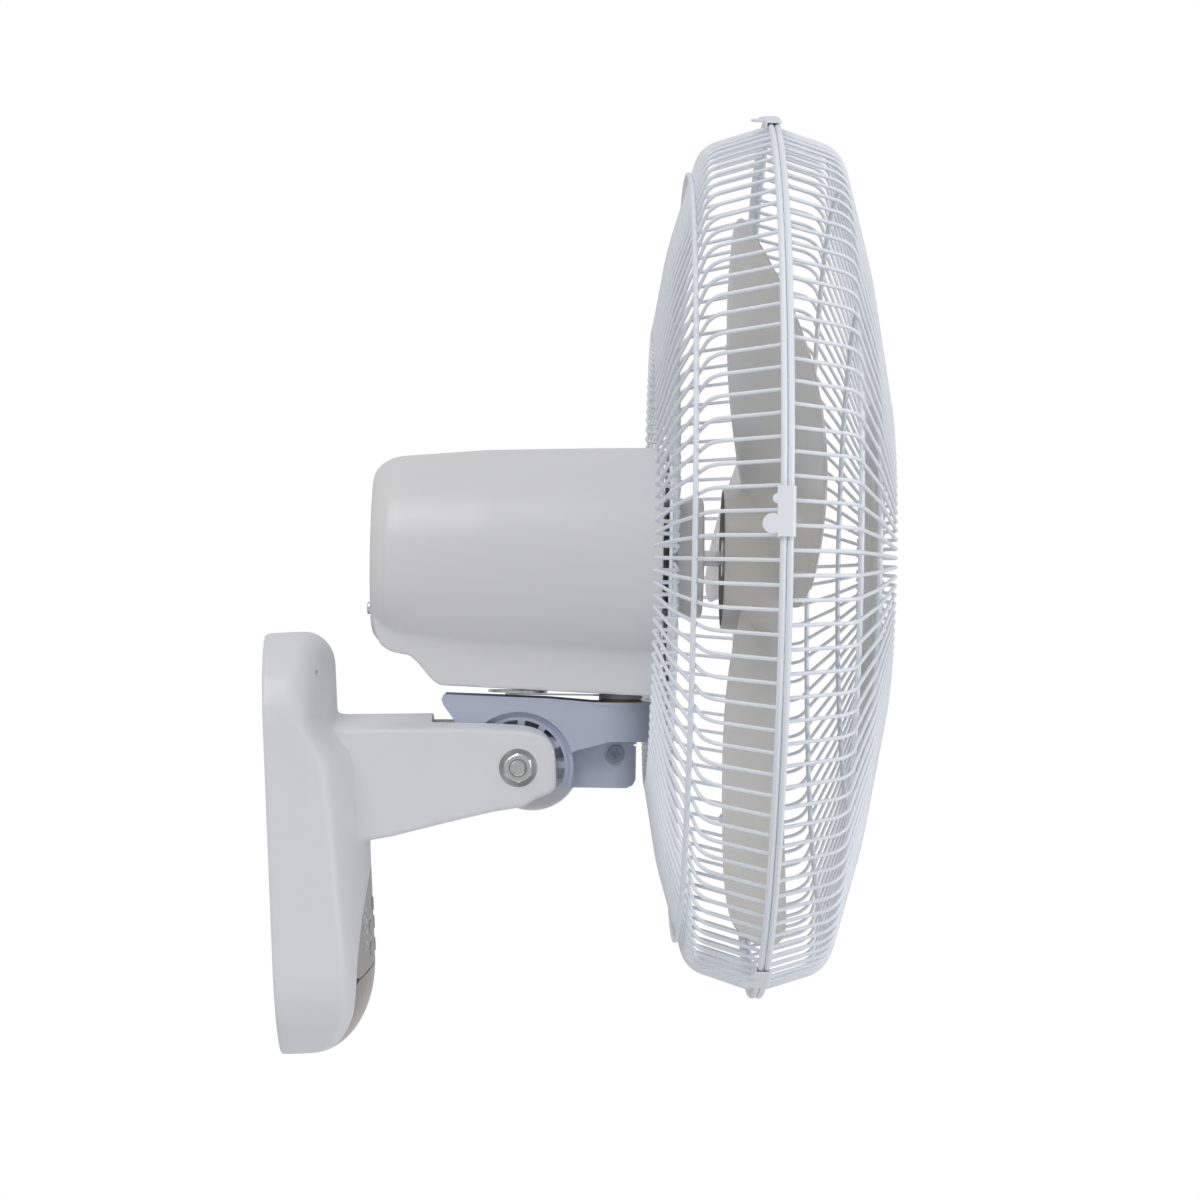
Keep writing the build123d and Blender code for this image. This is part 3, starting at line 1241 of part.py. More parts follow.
rear_wire = wire(rear_points, [14, 120, 90, 2.6, 3])
front_wire = wire(front_points, [14, 150, 2.4, 2])
save(ring_of(rear_wire, WIRES, REAR_PHASE), "rear_guard", tipped=True)
save(ring_of(front_wire, WIRES, FRONT_PHASE), "front_guard", tipped=True)
save(hoop(SEAM_AHEAD - RING_WIRE - RUNNING, RING_RADIUS, RING_WIRE), "rear_ring", tipped=True)
save(hoop(SEAM_AHEAD + RING_WIRE + RUNNING, RING_RADIUS, RING_WIRE), "front_ring", tipped=True)
rear_hoop_ahead = behind(rear_points[1], rear_points[2], REAR_HOOP_RADIUS)
save(hoop(rear_hoop_ahead, REAR_HOOP_RADIUS, HOOP_WIRE), "rear_hoop", tipped=True)
front_hoops = [
    hoop(behind(outer, inner, radius), radius, HOOP_WIRE)
    for outer, inner, radius in zip(front_points[1:], front_points[2:], FRONT_HOOP_RADII)
]
save(Compound(children=front_hoops), "front_hoops", tipped=True)

plate_front = REAR_DISH_AHEAD - WIRE_RADIUS - 0.1
with BuildPart() as guard_plate:
    with BuildSketch(fan_plane(plate_front)):
        Circle(PLATE_RADIUS)
        Circle(COLLAR_RADIUS + SLIDING, mode=Mode.SUBTRACT)
        with PolarLocations(PLATE_SCREW_CIRCLE, 4, start_angle=45):
            Circle(2 + SLIDING, mode=Mode.SUBTRACT)
    extrude(amount=-PLATE_THICKNESS)
save(guard_plate.part, "guard_plate", tipped=True)

plate_screws = [
    screw(
        Plane(
            origin=fan_plane(plate_front + 0.05).from_local_coords((
                PLATE_SCREW_CIRCLE * cos(radians(45 + 90 * k)),
                PLATE_SCREW_CIRCLE * sin(radians(45 + 90 * k)),
                0,
            )),
            x_dir=(1, 0, 0), z_dir=(0, -1, 0),
        ),
        3.6, 2.2, 2 - RUNNING, 7,
    )
    for k in range(4)
]
save(Compound(children=plate_screws), "plate_screws", tipped=True)

save(
    turned((
        (plate_front + 0.1, COLLAR_RADIUS + RUNNING), (plate_front + 0.1, COLLAR_RADIUS + 5),
        (NUT_RING_START, COLLAR_RADIUS + 5), (NUT_RING_START, NUT_RING_RADIUS),
        (NUT_RING_START + NUT_RING_LENGTH, NUT_RING_RADIUS),
        (NUT_RING_START + NUT_RING_LENGTH, COLLAR_RADIUS + RUNNING),
    )),
    "guard_nut", tipped=True,
)

wire_gap = WIRE_RADIUS + 0.1
save(
    turned((
        (FRONT_DISH_AHEAD - wire_gap - 1.6, 0), (FRONT_DISH_AHEAD - wire_gap - 1.6, BADGE_RADIUS - 1),
        (FRONT_DISH_AHEAD - wire_gap, BADGE_RADIUS), (FRONT_DISH_AHEAD - wire_gap, BADGE_RADIUS - 4.2),
        (FRONT_DISH_AHEAD + wire_gap, BADGE_RADIUS - 4.2), (FRONT_DISH_AHEAD + wire_gap, BADGE_RADIUS),
        (FRONT_DISH_AHEAD + wire_gap + 0.8, BADGE_RADIUS - 0.6),
        (FRONT_DISH_AHEAD + wire_gap + 1.8, BADGE_RADIUS - 8), (FRONT_DISH_AHEAD + wire_gap + 2.2, 0),
    )),
    "badge", tipped=True,
)

# ================================================================ clips
hinge_ahead = SEAM_AHEAD + RING_WIRE + RUNNING
far_leg = SEAM_AHEAD - 2 * RING_WIRE - RUNNING - CLIP_GAP
ring_top = RING_RADIUS + RING_WIRE + CLIP_GAP
hook_radius = RING_WIRE + CLIP_GAP
with BuildPart() as clip:
    with BuildSketch(FLAT):
        with Locations((hinge_ahead, RING_RADIUS)):
            Circle(hook_radius + CLIP_GAUGE)
            Circle(hook_radius, mode=Mode.SUBTRACT)
            Rectangle(20, 20, align=(Align.MAX, Align.CENTER), mode=Mode.SUBTRACT)
            Rectangle(20, 20, rotation=HOOK_END, align=(Align.MIN, Align.MAX), mode=Mode.SUBTRACT)
            Rectangle(20, 20, align=(Align.MIN, Align.MAX), mode=Mode.SUBTRACT)
        with Locations(((hinge_ahead + far_leg - CLIP_GAUGE) / 2, ring_top + CLIP_GAUGE / 2)):
            Rectangle(hinge_ahead - far_leg + CLIP_GAUGE, CLIP_GAUGE)
        with Locations((far_leg - CLIP_GAUGE / 2, ring_top)):
            Rectangle(CLIP_GAUGE, ring_top - RING_RADIUS + 2.0, align=(Align.CENTER, Align.MAX))
    extrude(amount=CLIP_LENGTH / 2, both=True)
    with BuildSketch(FAN_SIDE.offset(ring_top)):
        with Locations((far_leg - CLIP_GAUGE - 2.2, CLIP_TAB + 1.3 - CLIP_LENGTH / 2)):
            Circle(CLIP_TAB)
        with Locations((far_leg - CLIP_GAUGE, CLIP_LENGTH / 4)):
            Circle(CLIP_TAB / 2)
    extrude(amount=CLIP_GAUGE)
for k in range(CLIPS):
    angle = CLIP_FIRST + 360 / CLIPS * k
    save(clip.part.rotate(FAN_AXIS, -angle), f"guard_clip_{k + 1}", tipped=True)
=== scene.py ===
"""Looks of a wall mounted fan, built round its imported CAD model.

The row frame is in metres: +X right as seen from in front, +Z up, and the fan faces -Y.
Sizes in this script are in millimetres. On the base, "out" is the distance from the
wall. On the head, "ahead" is the distance in front of the tilt pivot and "up" the height
above it, with the head level; its pieces are tipped about the pivot when they are placed.
"""

import json
import logging
from collections.abc import Sequence
from dataclasses import dataclass
from enum import Enum
from functools import cache
from math import atan2, ceil, cos, degrees, pi, radians, sin, sqrt, tan

import bmesh
import bpy
from mathutils import Matrix, Vector


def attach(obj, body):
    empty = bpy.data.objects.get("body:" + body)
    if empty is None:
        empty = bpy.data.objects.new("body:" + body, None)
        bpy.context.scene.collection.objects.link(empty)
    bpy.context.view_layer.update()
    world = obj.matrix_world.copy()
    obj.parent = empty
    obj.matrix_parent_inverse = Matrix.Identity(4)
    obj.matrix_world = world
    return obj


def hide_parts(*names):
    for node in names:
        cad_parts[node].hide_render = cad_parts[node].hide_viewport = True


log = logging.getLogger("wall_fan")

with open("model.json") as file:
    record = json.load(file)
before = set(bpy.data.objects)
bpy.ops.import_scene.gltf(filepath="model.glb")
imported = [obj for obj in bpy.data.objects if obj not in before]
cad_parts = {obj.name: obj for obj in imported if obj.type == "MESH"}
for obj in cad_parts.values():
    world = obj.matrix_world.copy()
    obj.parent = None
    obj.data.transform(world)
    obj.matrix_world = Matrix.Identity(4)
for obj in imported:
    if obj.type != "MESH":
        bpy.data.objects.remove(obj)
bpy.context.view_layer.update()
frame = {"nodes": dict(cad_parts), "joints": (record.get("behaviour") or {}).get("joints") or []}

MM = 0.001
Point = tuple[float, ...]

# what every finish shares: scale of the slow drift, stretch of turned lines, coat's roughness,
# and how far the roughness swings about its middle
DRIFT_SCALE = 18.0
TURNED_STRETCH = (1, 14, 1)
COAT_ROUGHNESS = 0.12
EVEN_SWING = (0.88, 1.12)
CRYSTAL_SWING = (0.7, 1.35)
# corners of a slot's outline and sides of a guard wire
SLOT_STEPS = 32
WIRE_SIDES = 8
# points this near are one, on any piece and on a turned piece's axis, and a smaller face is none
WELD_MM = 1e-4
AXIS_WELD_MM = 1e-5
FLAT_MM2 = 1e-9


# ---------------------------------------------------------------- colours and nodes
def linear(hex_colour: str) -> tuple[float, float, float, float]:
    """Turn an sRGB hex colour into linear RGBA.

    Args:
        hex_colour: Six hex digits.

    Returns:
        The linear colour with full alpha.
    """
    parts = [int(hex_colour[i:i + 2], 16) / 255 for i in (0, 2, 4)]
    values = [c / 12.92 if c <= 0.04045 else ((c + 0.055) / 1.055) ** 2.4 for c in parts]
    return (*values, 1.0)


def add_node(tree: bpy.types.NodeTree, kind: str, links: dict | None = None, **settings) -> bpy.types.Node:
    """Add a node with its settings and links.

    Args:
        tree: Node tree that takes the node.
        kind: Blender's type name of the node.
        links: Input name or index to an output socket or a plain value.
        settings: Attributes of the node.

    Returns:
        The new node.
    """
    node = tree.nodes.new(kind)
    for name, value in settings.items():
        setattr(node, name, value)
    for key, value in (links or {}).items():
        if isinstance(value, bpy.types.NodeSocket):
            tree.links.new(value, node.inputs[key])
        else:
            node.inputs[key].default_value = value
    return node


def blank_tree(owner: bpy.types.Material | bpy.types.World) -> bpy.types.NodeTree:
    """Switch a material or world to nodes and empty its tree.

    Args:
        owner: The material or world.

    Returns:
        Its empty node tree.
    """
    owner.use_nodes = True
    owner.node_tree.nodes.clear()
    return owner.node_tree


class Grain(Enum):
    """How a surface was finished."""

    MOULDED = "moulded"
    COATED = "coated"
    PLATED = "plated"
    TURNED = "turned"


@dataclass(frozen=True)
class Finish:
    """A finish as it is met on this fan.

    Attributes:
        name: Name of the material.
        colour: sRGB hex of the surface.
        shade: sRGB hex that the surface wanders to over tens of millimetres.
        grain: How the surface was made.
        roughness: Middle of the roughness.
        metallic: 1 for bare metal.
        ior: Index of refraction of a plastic or a lacquer.
        grain_mm: Size of the surface's texture.
        relief_mm: Height of that texture.
        coat: Weight of a clear gloss skin.
    """

    name: str
    colour: str
    shade: str
    grain: Grain = Grain.MOULDED
    roughness: float = 0.4
    metallic: float = 0.0
    ior: float = 1.5
    grain_mm: float = 1.2
    relief_mm: float = 0.02
    coat: float = 0.0

    @cache
    def build(self) -> bpy.types.Material:
        """Make the material.

        Returns:
            The material, made once for each finish.
        """
        material = bpy.data.materials.new(self.name)
        tree = blank_tree(material)
        spot = add_node(tree, "ShaderNodeTexCoord").outputs["Object"]
        if self.grain is Grain.TURNED:
            stretch = add_node(tree, "ShaderNodeMapping", {"Vector": spot, "Scale": TURNED_STRETCH})
            spot = stretch.outputs["Vector"]
        drift = add_node(tree, "ShaderNodeTexNoise", {"Vector": spot, "Scale": DRIFT_SCALE, "Detail": 2.0})
        fine_scale = 1 / (self.grain_mm * MM)
        fine = add_node(
            tree, "ShaderNodeTexNoise",
            {"Vector": spot, "Scale": fine_scale, "Detail": 3.0, "Roughness": 0.6},
        )
        tint = add_node(
            tree, "ShaderNodeMix",
            {0: drift.outputs["Fac"], 6: linear(self.colour), 7: linear(self.shade)},
            data_type="RGBA",
        )
        pattern, (low, high) = fine.outputs["Fac"], EVEN_SWING
        if self.grain is Grain.PLATED:
            # zinc plate: small crystals that take the light one by one
            cells = add_node(tree, "ShaderNodeTexVoronoi", {"Vector": spot, "Scale": fine_scale})
            pattern, (low, high) = cells.outputs["Color"], CRYSTAL_SWING
        rough = add_node(
            tree, "ShaderNodeMapRange",
            {"Value": pattern, 3: self.roughness * low, 4: self.roughness * high},
        )
        bump = add_node(
            tree, "ShaderNodeBump",
            {"Height": fine.outputs["Fac"], "Strength": 1.0, "Distance": self.relief_mm * MM},
        )
        skin = add_node(
            tree, "ShaderNodeBsdfPrincipled",
            {
                "Base Color": tint.outputs[2], "Roughness": rough.outputs[0],
                "Metallic": self.metallic, "IOR": self.ior, "Normal": bump.outputs["Normal"],
                "Coat Weight": self.coat, "Coat Roughness": COAT_ROUGHNESS,
            },
        )
        add_node(tree, "ShaderNodeOutputMaterial", {"Surface": skin.outputs["BSDF"]})
        return material


class Finishes:
    """Every finish on the fan."""

    # ABS, moulded in a polished tool: a cool near white with a soft broad gloss
    casing = Finish("moulded_abs_casing", "E8E9ED", "E4E5EA", roughness=0.3, grain_mm=2.4, relief_mm=0.006)
    # ABS of the motor cover: the same, a touch warmer
    housing = Finish(
        "moulded_abs_motor_cover", "E6E6E7", "E2E2E4", roughness=0.3, grain_mm=2.4, relief_mm=0.006
    )
    # polypropylene of the bracket: bluish grey and a little waxy
    bracket = Finish("moulded_pp_bracket", "BEC6D8", "B8C1D4", roughness=0.4, grain_mm=1.6, relief_mm=0.01)
    # clips in the guard's colour
    clip = Finish("moulded_pp_clip", "EEF1F7", "E9EDF4", roughness=0.38, grain_mm=1.6, relief_mm=0.01)
    # powder coat on wire: thick and glossy with a faint orange peel
    wire = Finish(
        "powder_coated_wire", "F0F4FB", "EAEFF8", Grain.COATED, roughness=0.3, grain_mm=1.8, relief_mm=0.01
    )
    # blades moulded in AS: warm grey, and glossy enough to mirror the guard in streaks
    blade = Finish(
        "moulded_as_blade", "D6D4CF", "CFCDC7", roughness=0.16, grain_mm=4.0, relief_mm=0.006, coat=0.3
    )
    # the nut in front of the hub: the same plastic in a darker, greener grey
    hub = Finish(
        "moulded_as_hub", "9BA09E", "949997", roughness=0.22, grain_mm=3.0, relief_mm=0.006, coat=0.2
    )
    # printed polycarbonate sheet over the controls: grey and semi gloss
    panel = Finish("printed_pc_panel", "B2B2AF", "ABABA8", roughness=0.3, grain_mm=1.0, relief_mm=0.004)
    # smoked acrylic in front of the receiver: deep gloss
    lens = Finish(
        "smoked_acrylic_lens", "A2998F", "968D84", roughness=0.12, grain_mm=3.0, relief_mm=0.004, coat=0.6
    )
    # white ink screened on the panel: thin and matt
    print_ink = Finish("printed_white_ink", "F2F3F2", "ECEDEC", roughness=0.5, grain_mm=0.6, relief_mm=0.002)
    # painted screw in a bluish grey, made darker than the bracket as painted shade for the recess that it
    # sits in
    painted = Finish(
        "painted_steel_screw", "8F98AB", "8891A4", Grain.COATED, roughness=0.34, grain_mm=1.0, relief_mm=0.006
    )
    # polycarbonate keys: paler than the panel
    key = Finish("moulded_pc_key", "B9BAB9", "B2B3B2", roughness=0.3, grain_mm=1.0, relief_mm=0.006)
    # bright zinc on cold formed steel: small crystals under a thin gloss
    zinc = Finish(
        "zinc_plated_steel", "DCDDDD", "D0D1D0", Grain.PLATED, roughness=0.16, metallic=1.0, grain_mm=0.35,
        relief_mm=0.003,
    )
    # ground bar: fine lines round the shaft
    ground = Finish(
        "ground_steel_bar", "C6C8CA", "BDBFC1", Grain.TURNED, roughness=0.22, metallic=1.0, grain_mm=0.8,
        relief_mm=0.004,
    )
    # punched sheets, stacked: dull blue grey
    core = Finish(
        "laminated_core_steel", "6D7278", "62676D", Grain.TURNED, roughness=0.5, metallic=1.0, grain_mm=1.0,
        relief_mm=0.03,
    )
    # enamelled copper wire in a lacquered bundle
    copper = Finish(
        "enamelled_copper_wire", "A9582B", "8F4722", Grain.TURNED, roughness=0.3, metallic=0.8, grain_mm=0.9,
        relief_mm=0.05, coat=0.4,
    )
    # die cast aluminium with its dull skin
    cast = Finish(
        "die_cast_aluminium", "B4B6B8", "A8AAAC", roughness=0.46, metallic=1.0, grain_mm=1.2, relief_mm=0.03
    )
    # sintered bronze: open pores, oiled
    bronze = Finish(
        "sintered_bronze", "A08050", "947546", roughness=0.45, metallic=1.0, grain_mm=0.8, relief_mm=0.02
    )
    # glass filled nylon: near black, dry
    nylon = Finish("glass_filled_nylon", "2A2B2D", "242527", roughness=0.5, grain_mm=1.0, relief_mm=0.02)
    # epoxy glass laminate under green solder mask
    board = Finish("epoxy_glass_board", "2F6B3C", "2A6237", roughness=0.35, grain_mm=1.0, relief_mm=0.01)
    # moulded rubber: dark and dry
    rubber = Finish("moulded_black_rubber", "1C1C1D", "191919", roughness=0.7, grain_mm=0.8, relief_mm=0.02)


# CAD nodes that are shown as they are, by the name of their finish
CARRIED_OVER: dict[str, tuple[str, ...]] = {
    "casing": ("back_cover",),
    "bracket": ("tilt_bracket", "barrel_cover"),
    "clip": tuple(f"guard_clip_{k}" for k in range(1, 6)),
    "wire": ("guard_plate",),
    # the clamp screw's darker grey is painted shade for its recess
    "painted": ("clamp_screw",),
    "key": tuple(f"key_{k}" for k in range(1, 6)),
    "zinc": (
        "wall_plate", "cover_screws", "fixing_screw", "pivot_bolt", "pivot_washers", "plate_screws",
        "housing_screws", "link_anchor_pin", "swing_link", "crank_disc", "retaining_ring", "drive_pin",
    ),
    "ground": ("shaft", "swing_post", "front_bearing", "rear_bearing"),
    "core": ("stator_core", "rotor_core"),
    "copper": ("stator_winding",),
    "cast": ("front_shield", "rear_shield", "motor_cradle"),
    "bronze": ("barrel_bush",),
    "nylon": ("swing_gearbox", "tact_switches", "terminal_block", "run_capacitor", "ir_receiver"),
    "board": ("circuit_board",),
    "rubber": ("cord_grommet",),
    "hub": ("spinner",),
}


# ---------------------------------------------------------------- meshes and places
class Place:
    """Where the head stands: it is drawn level about the pivot and tipped as the joints say."""

    def __init__(self) -> None:
        """Read the pivot and the rest tilt from the frame's joints."""
        joints = {joint["name"]: joint for joint in frame["joints"]}
        self.pivot = Vector(joints["tilt"]["pos_m"])
        upright = Vector(joints["oscillation"]["axis"])
        self.tilt = atan2(-upright.y, upright.z)

    @property
    def head(self) -> Matrix:
        """Matrix from millimetres about the level pivot to the row frame."""
        return Matrix.Translation(self.pivot) @ Matrix.Rotation(self.tilt, 4, "X") @ Matrix.Scale(MM, 4)

    @property
    def base(self) -> Matrix:
        """Matrix from millimetres about the wall's origin to the row frame."""
        return Matrix.Scale(MM, 4)


PLACE = Place()
# height of the fan's axis above the tilt pivot
AXIS_UP = 106.2
IN_PLACE = Matrix.Identity(4)


def clamped(value: float) -> float:
    """The value, kept between 0 and 1."""
    return min(max(value, 0.0), 1.0)


def new_object(name: str, data: bpy.types.ID) -> bpy.types.Object:
    """Put data into the scene as an object.

    Args:
        name: Name of the object.
        data: Mesh, lamp or camera.

    Returns:
        The object.
    """
    made = bpy.data.objects.new(name, data)
    bpy.context.scene.collection.objects.link(made)
    return made


def dress(piece: bpy.types.Object, finish: Finish) -> None:
    """Give a whole piece one finish."""
    piece.data.materials.clear()
    piece.data.materials.append(finish.build())


def piece_from(mesh: bmesh.types.BMesh, name: str, finish: Finish) -> bpy.types.Object:
    """Turn a bmesh into an object with its finish.

    Args:
        mesh: The shape. It is freed here.
        name: Name of the object.
        finish: Finish of the whole piece.

    Returns:
        The object, in the units that it is drawn in.
    """
    bmesh.ops.remove_doubles(mesh, verts=mesh.verts, dist=WELD_MM)
    bmesh.ops.recalc_face_normals(mesh, faces=mesh.faces)
    data = bpy.data.meshes.new(name)
    mesh.to_mesh(data)
    mesh.free()
    data.materials.append(finish.build())
    return new_object(name, data)


def evaluated_copy(piece: bpy.types.Object) -> None:
    """Apply every modifier of a piece to its mesh and take the modifiers off.

    Args:
        piece: A mesh object with modifiers.
    """
    bpy.context.view_layer.update()
    graph = bpy.context.evaluated_depsgraph_get()
    solid = bpy.data.meshes.new_from_object(piece.evaluated_get(graph))
    piece.modifiers.clear()
    piece.data = solid


def rounded(corners: list[Point], radii: list[float], step_deg: float = 10.0) -> list[Point]:
    """Round the inner corners of an open line.

    Args:
        corners: Points of the line.
        radii: One radius for each corner but the first and last.
        step_deg: Turn between two points of an arc.

    Returns:
        The points of the rounded line.
    """
    points: list[Point] = [corners[0]]
    for before, corner, after, radius in zip(corners, corners[1:], corners[2:], radii):
        a = Vector(before) - Vector(corner)
        b = Vector(after) - Vector(corner)
        a.normalize()
        b.normalize()
        half = a.angle(b) / 2
        reach = radius / tan(half)
        centre = Vector(corner) + (a + b).normalized() * (radius / sin(half))
        start = Vector(corner) + a * reach - centre
        end = Vector(corner) + b * reach - centre
        turn = start.angle_signed(end)
        steps = max(2, ceil(abs(degrees(turn)) / step_deg))
        for k in range(steps + 1):
            points.append(tuple(centre + Matrix.Rotation(-turn * k / steps, 2) @ start))
    points.append(corners[-1])
    return points


def arc(start: Point, middle: Point, end: Point, steps: int = 30) -> list[Point]:
    """Points of the arc through three points, under half a turn.

    Args:
        start: First point.
        middle: A point on the way.
        end: Last point.
        steps: Steps along the arc.

    Returns:
        The points from start to end.
    """
    (ax, ay), (bx, by), (cx, cy) = start, middle, end
    twice = 2 * (ax * (by - cy) + bx * (cy - ay) + cx * (ay - by))
    a, b, c = ax**2 + ay**2, bx**2 + by**2, cx**2 + cy**2
    centre = Vector((
        (a * (by - cy) + b * (cy - ay) + c * (ay - by)) / twice,
        (a * (cx - bx) + b * (ax - cx) + c * (bx - ax)) / twice,
    ))
    first = Vector(start) - centre
    turn = first.angle_signed(Vector(end) - centre)
    return [tuple(centre + Matrix.Rotation(-turn * k / steps, 2) @ first) for k in range(steps + 1)]


def circle(at: Point, radius: float, steps: int = 96) -> list[Point]:
    """Corners of a circle about a point.

    Args:
        at: Its middle.
        radius: Its radius.
        steps: Number of corners.

    Returns:
        The corners.
    """
    turns = [2 * pi * k / steps for k in range(steps)]
    return [(at[0] + radius * cos(turn), at[1] + radius * sin(turn)) for turn in turns]


def oblong(low: Point, high: Point) -> list[Point]:
    """Corners of a rectangle from its lowest to its highest corner."""
    return [low, (high[0], low[1]), high, (low[0], high[1])]


def round_slot(at: Point, length: float, height: float, turn: float = 0.0) -> list[Point]:
    """Corners of a slot with round ends about a point.

    Args:
        at: Middle of the slot.
        length: Over the round ends.
        height: Width of the slot.
        turn: Turn of its length in radians.

    Returns:
        The corners.
    """
    reach = length / 2 - height / 2
    corners = []
    for k in range(SLOT_STEPS):
        angle = 2 * pi * (k + 0.5) / SLOT_STEPS
        x = height / 2 * cos(angle) + (reach if cos(angle) > 0 else -reach)
        y = height / 2 * sin(angle)
        corners.append((at[0] + x * cos(turn) - y * sin(turn), at[1] + x * sin(turn) + y * cos(turn)))
    return corners


def skin(rows: list[list[Point]], closed: bool = False) -> bmesh.types.BMesh:
    """Skin rows of points, each a closed loop.

    Args:
        rows: Loops with the same number of points.
        closed: Join the last row to the first instead of capping both.

    Returns:
        A closed shape with its normals outward.
    """
    mesh = bmesh.new()
    loops = [[mesh.verts.new(point) for point in row] for row in rows]
    pairs = list(zip(loops, loops[1:])) + ([(loops[-1], loops[0])] if closed else [])
    for row, following in pairs:
        for i in range(len(row)):
            j = (i + 1) % len(row)
            mesh.faces.new((row[i], row[j], following[j], following[i]))
    if not closed:
        mesh.faces.new(loops[0])
        mesh.faces.new(loops[-1])
    bmesh.ops.recalc_face_normals(mesh, faces=mesh.faces)
    return mesh


def lathe(outline: Sequence[Point], steps: int = 120) -> bmesh.types.BMesh:
    """Turn a closed outline of (ahead, radius) about the fan's axis.

    Args:
        outline: Corners in millimetres.
        steps: Steps round the axis.

    Returns:
        A closed shape in head coordinates.
    """
    turns = [2 * pi * k / steps for k in range(steps)]
    mesh = skin(
        [[(-r * cos(turn), -ahead, AXIS_UP + r * sin(turn)) for ahead, r in outline] for turn in turns],
        closed=True,
    )
    # an outline that starts or ends on the axis leaves flat faces there
    bmesh.ops.remove_doubles(mesh, verts=mesh.verts, dist=AXIS_WELD_MM)
    flat = [face for face in mesh.faces if face.calc_area() < FLAT_MM2]
    bmesh.ops.delete(mesh, geom=flat, context="FACES")
    bmesh.ops.recalc_face_normals(mesh, faces=mesh.faces)
    return mesh


def prism(outline: Sequence[Point], axis: str, low: float, high: float) -> bmesh.types.BMesh:
    """Extrude an outline along an axis.

    Args:
        outline: Corners as (ahead, up) for X, (side, up) for Y and (side, ahead) for Z.
        axis: X to the right, Y ahead or out, Z up.
        low: Where the solid starts on that axis.
        high: Where it ends.

    Returns:
        A closed shape in millimetres.
    """
    spot = {
        "X": lambda u, v, w: (w, -u, v),
        "Y": lambda u, v, w: (u, -w, v),
        "Z": lambda u, v, w: (u, -v, w),
    }[axis]
    return skin([[spot(u, v, w) for u, v in outline] for w in (low, high)])


def start_tree(name: str, inputs: dict[str, str]) -> tuple[bpy.types.NodeTree, bpy.types.Node]:
    """Start a geometry node tree with named inputs, Material among them.

    Args:
        name: Name of the tree.
        inputs: Input names and the kinds of their sockets.

    Returns:
        The tree and its input node.
    """
    tree = bpy.data.node_groups.new(name, "GeometryNodeTree")
    for label, kind in (inputs | {"Material": "Material"}).items():
        tree.interface.new_socket(label, in_out="INPUT", socket_type=f"NodeSocket{kind}")
    tree.interface.new_socket("Geometry", in_out="OUTPUT", socket_type="NodeSocketGeometry")
    return tree, add_node(tree, "NodeGroupInput")


def end_tree(tree: bpy.types.NodeTree, given: bpy.types.Node, built: bpy.types.NodeSocket) -> None:
    """Realize what a tree has built, set its material and end the tree.

    Args:
        tree: The tree.
        given: Its input node.
        built: Socket with the geometry.
    """
    real = add_node(tree, "GeometryNodeRealizeInstances", {"Geometry": built})
    dressed = add_node(
        tree, "GeometryNodeSetMaterial",
        {"Geometry": real.outputs["Geometry"], "Material": given.outputs["Material"]},
    )
    add_node(tree, "NodeGroupOutput", {"Geometry": dressed.outputs["Geometry"]})


@cache
def copies_tree() -> bpy.types.NodeTree:
    """Make the node tree that steps a piece round the fan's axis.

    Returns:
        The tree, made once.
    """
    tree, given = start_tree(
        "copies_round_the_axis", {"Piece": "Geometry", "Copies": "Int", "First angle": "Float"}
    )
    single = add_node(tree, "GeometryNodeGeometryToInstance", {"Geometry": given.outputs["Piece"]})
    copies = add_node(
        tree, "GeometryNodeDuplicateElements",
        {"Geometry": single.outputs["Instances"], "Amount": given.outputs["Copies"]},
        domain="INSTANCE",
    )
    share = add_node(
        tree, "ShaderNodeMath",
        {0: copies.outputs["Duplicate Index"], 1: given.outputs["Copies"]}, operation="DIVIDE",
    )
    angle = add_node(
        tree, "ShaderNodeMath",
        {0: share.outputs[0], 1: 2 * pi, 2: given.outputs["First angle"]}, operation="MULTIPLY_ADD",
    )
    turn = add_node(tree, "ShaderNodeCombineXYZ", {"Y": angle.outputs[0]})
    turned = add_node(
        tree, "GeometryNodeRotateInstances",
        {"Instances": copies.outputs["Geometry"], "Rotation": turn.outputs[0], "Local Space": False},
    )
    end_tree(tree, given, turned.outputs["Instances"])
    return tree


@cache
def wire_tree() -> bpy.types.NodeTree:
    """Make the node tree that sweeps a round wire along a line of edges.

    Returns:
        The tree, made once.
    """
    tree, given = start_tree("wire_along_a_line", {"Line": "Geometry", "Wire radius": "Float"})
    line = add_node(tree, "GeometryNodeMeshToCurve", {"Mesh": given.outputs["Line"]})
    section = add_node(
        tree, "GeometryNodeCurvePrimitiveCircle",
        {"Resolution": WIRE_SIDES, "Radius": given.outputs["Wire radius"]},
    )
    swept = add_node(
        tree, "GeometryNodeCurveToMesh",
        {"Curve": line.outputs["Curve"], "Profile Curve": section.outputs["Curve"], "Fill Caps": True},
    )
    end_tree(tree, given, swept.outputs["Mesh"])
    return tree


def run_tree(piece: bpy.types.Object, tree: bpy.types.NodeTree, **values) -> None:
    """Put a node tree on a piece as a modifier and set its inputs.

    Args:
        piece: A mesh object.
        tree: Geometry node tree.
        values: Input names, with _ for a space, and their values.
    """
    modifier = piece.modifiers.new(tree.name, "NODES")
    modifier.node_group = tree
    for item in tree.interface.items_tree:
        given = values.get(item.name.replace(" ", "_").lower())
        if item.in_out == "INPUT" and given is not None:
            modifier[item.identifier] = given


def step_round(piece: bpy.types.Object, copies: int, first_deg: float, finish: Finish) -> None:
    """Step a piece round the fan's axis and leave it a plain mesh.

    Args:
        piece: Piece drawn about the axis, in millimetres.
        copies: Number of copies.
        first_deg: Angle of the first one.
        finish: Finish that the tree sets.
    """
    run_tree(piece, copies_tree(), copies=copies, first_angle=radians(first_deg), material=finish.build())
    evaluated_copy(piece)
    piece.data.transform(Matrix.Translation((0, 0, AXIS_UP)))


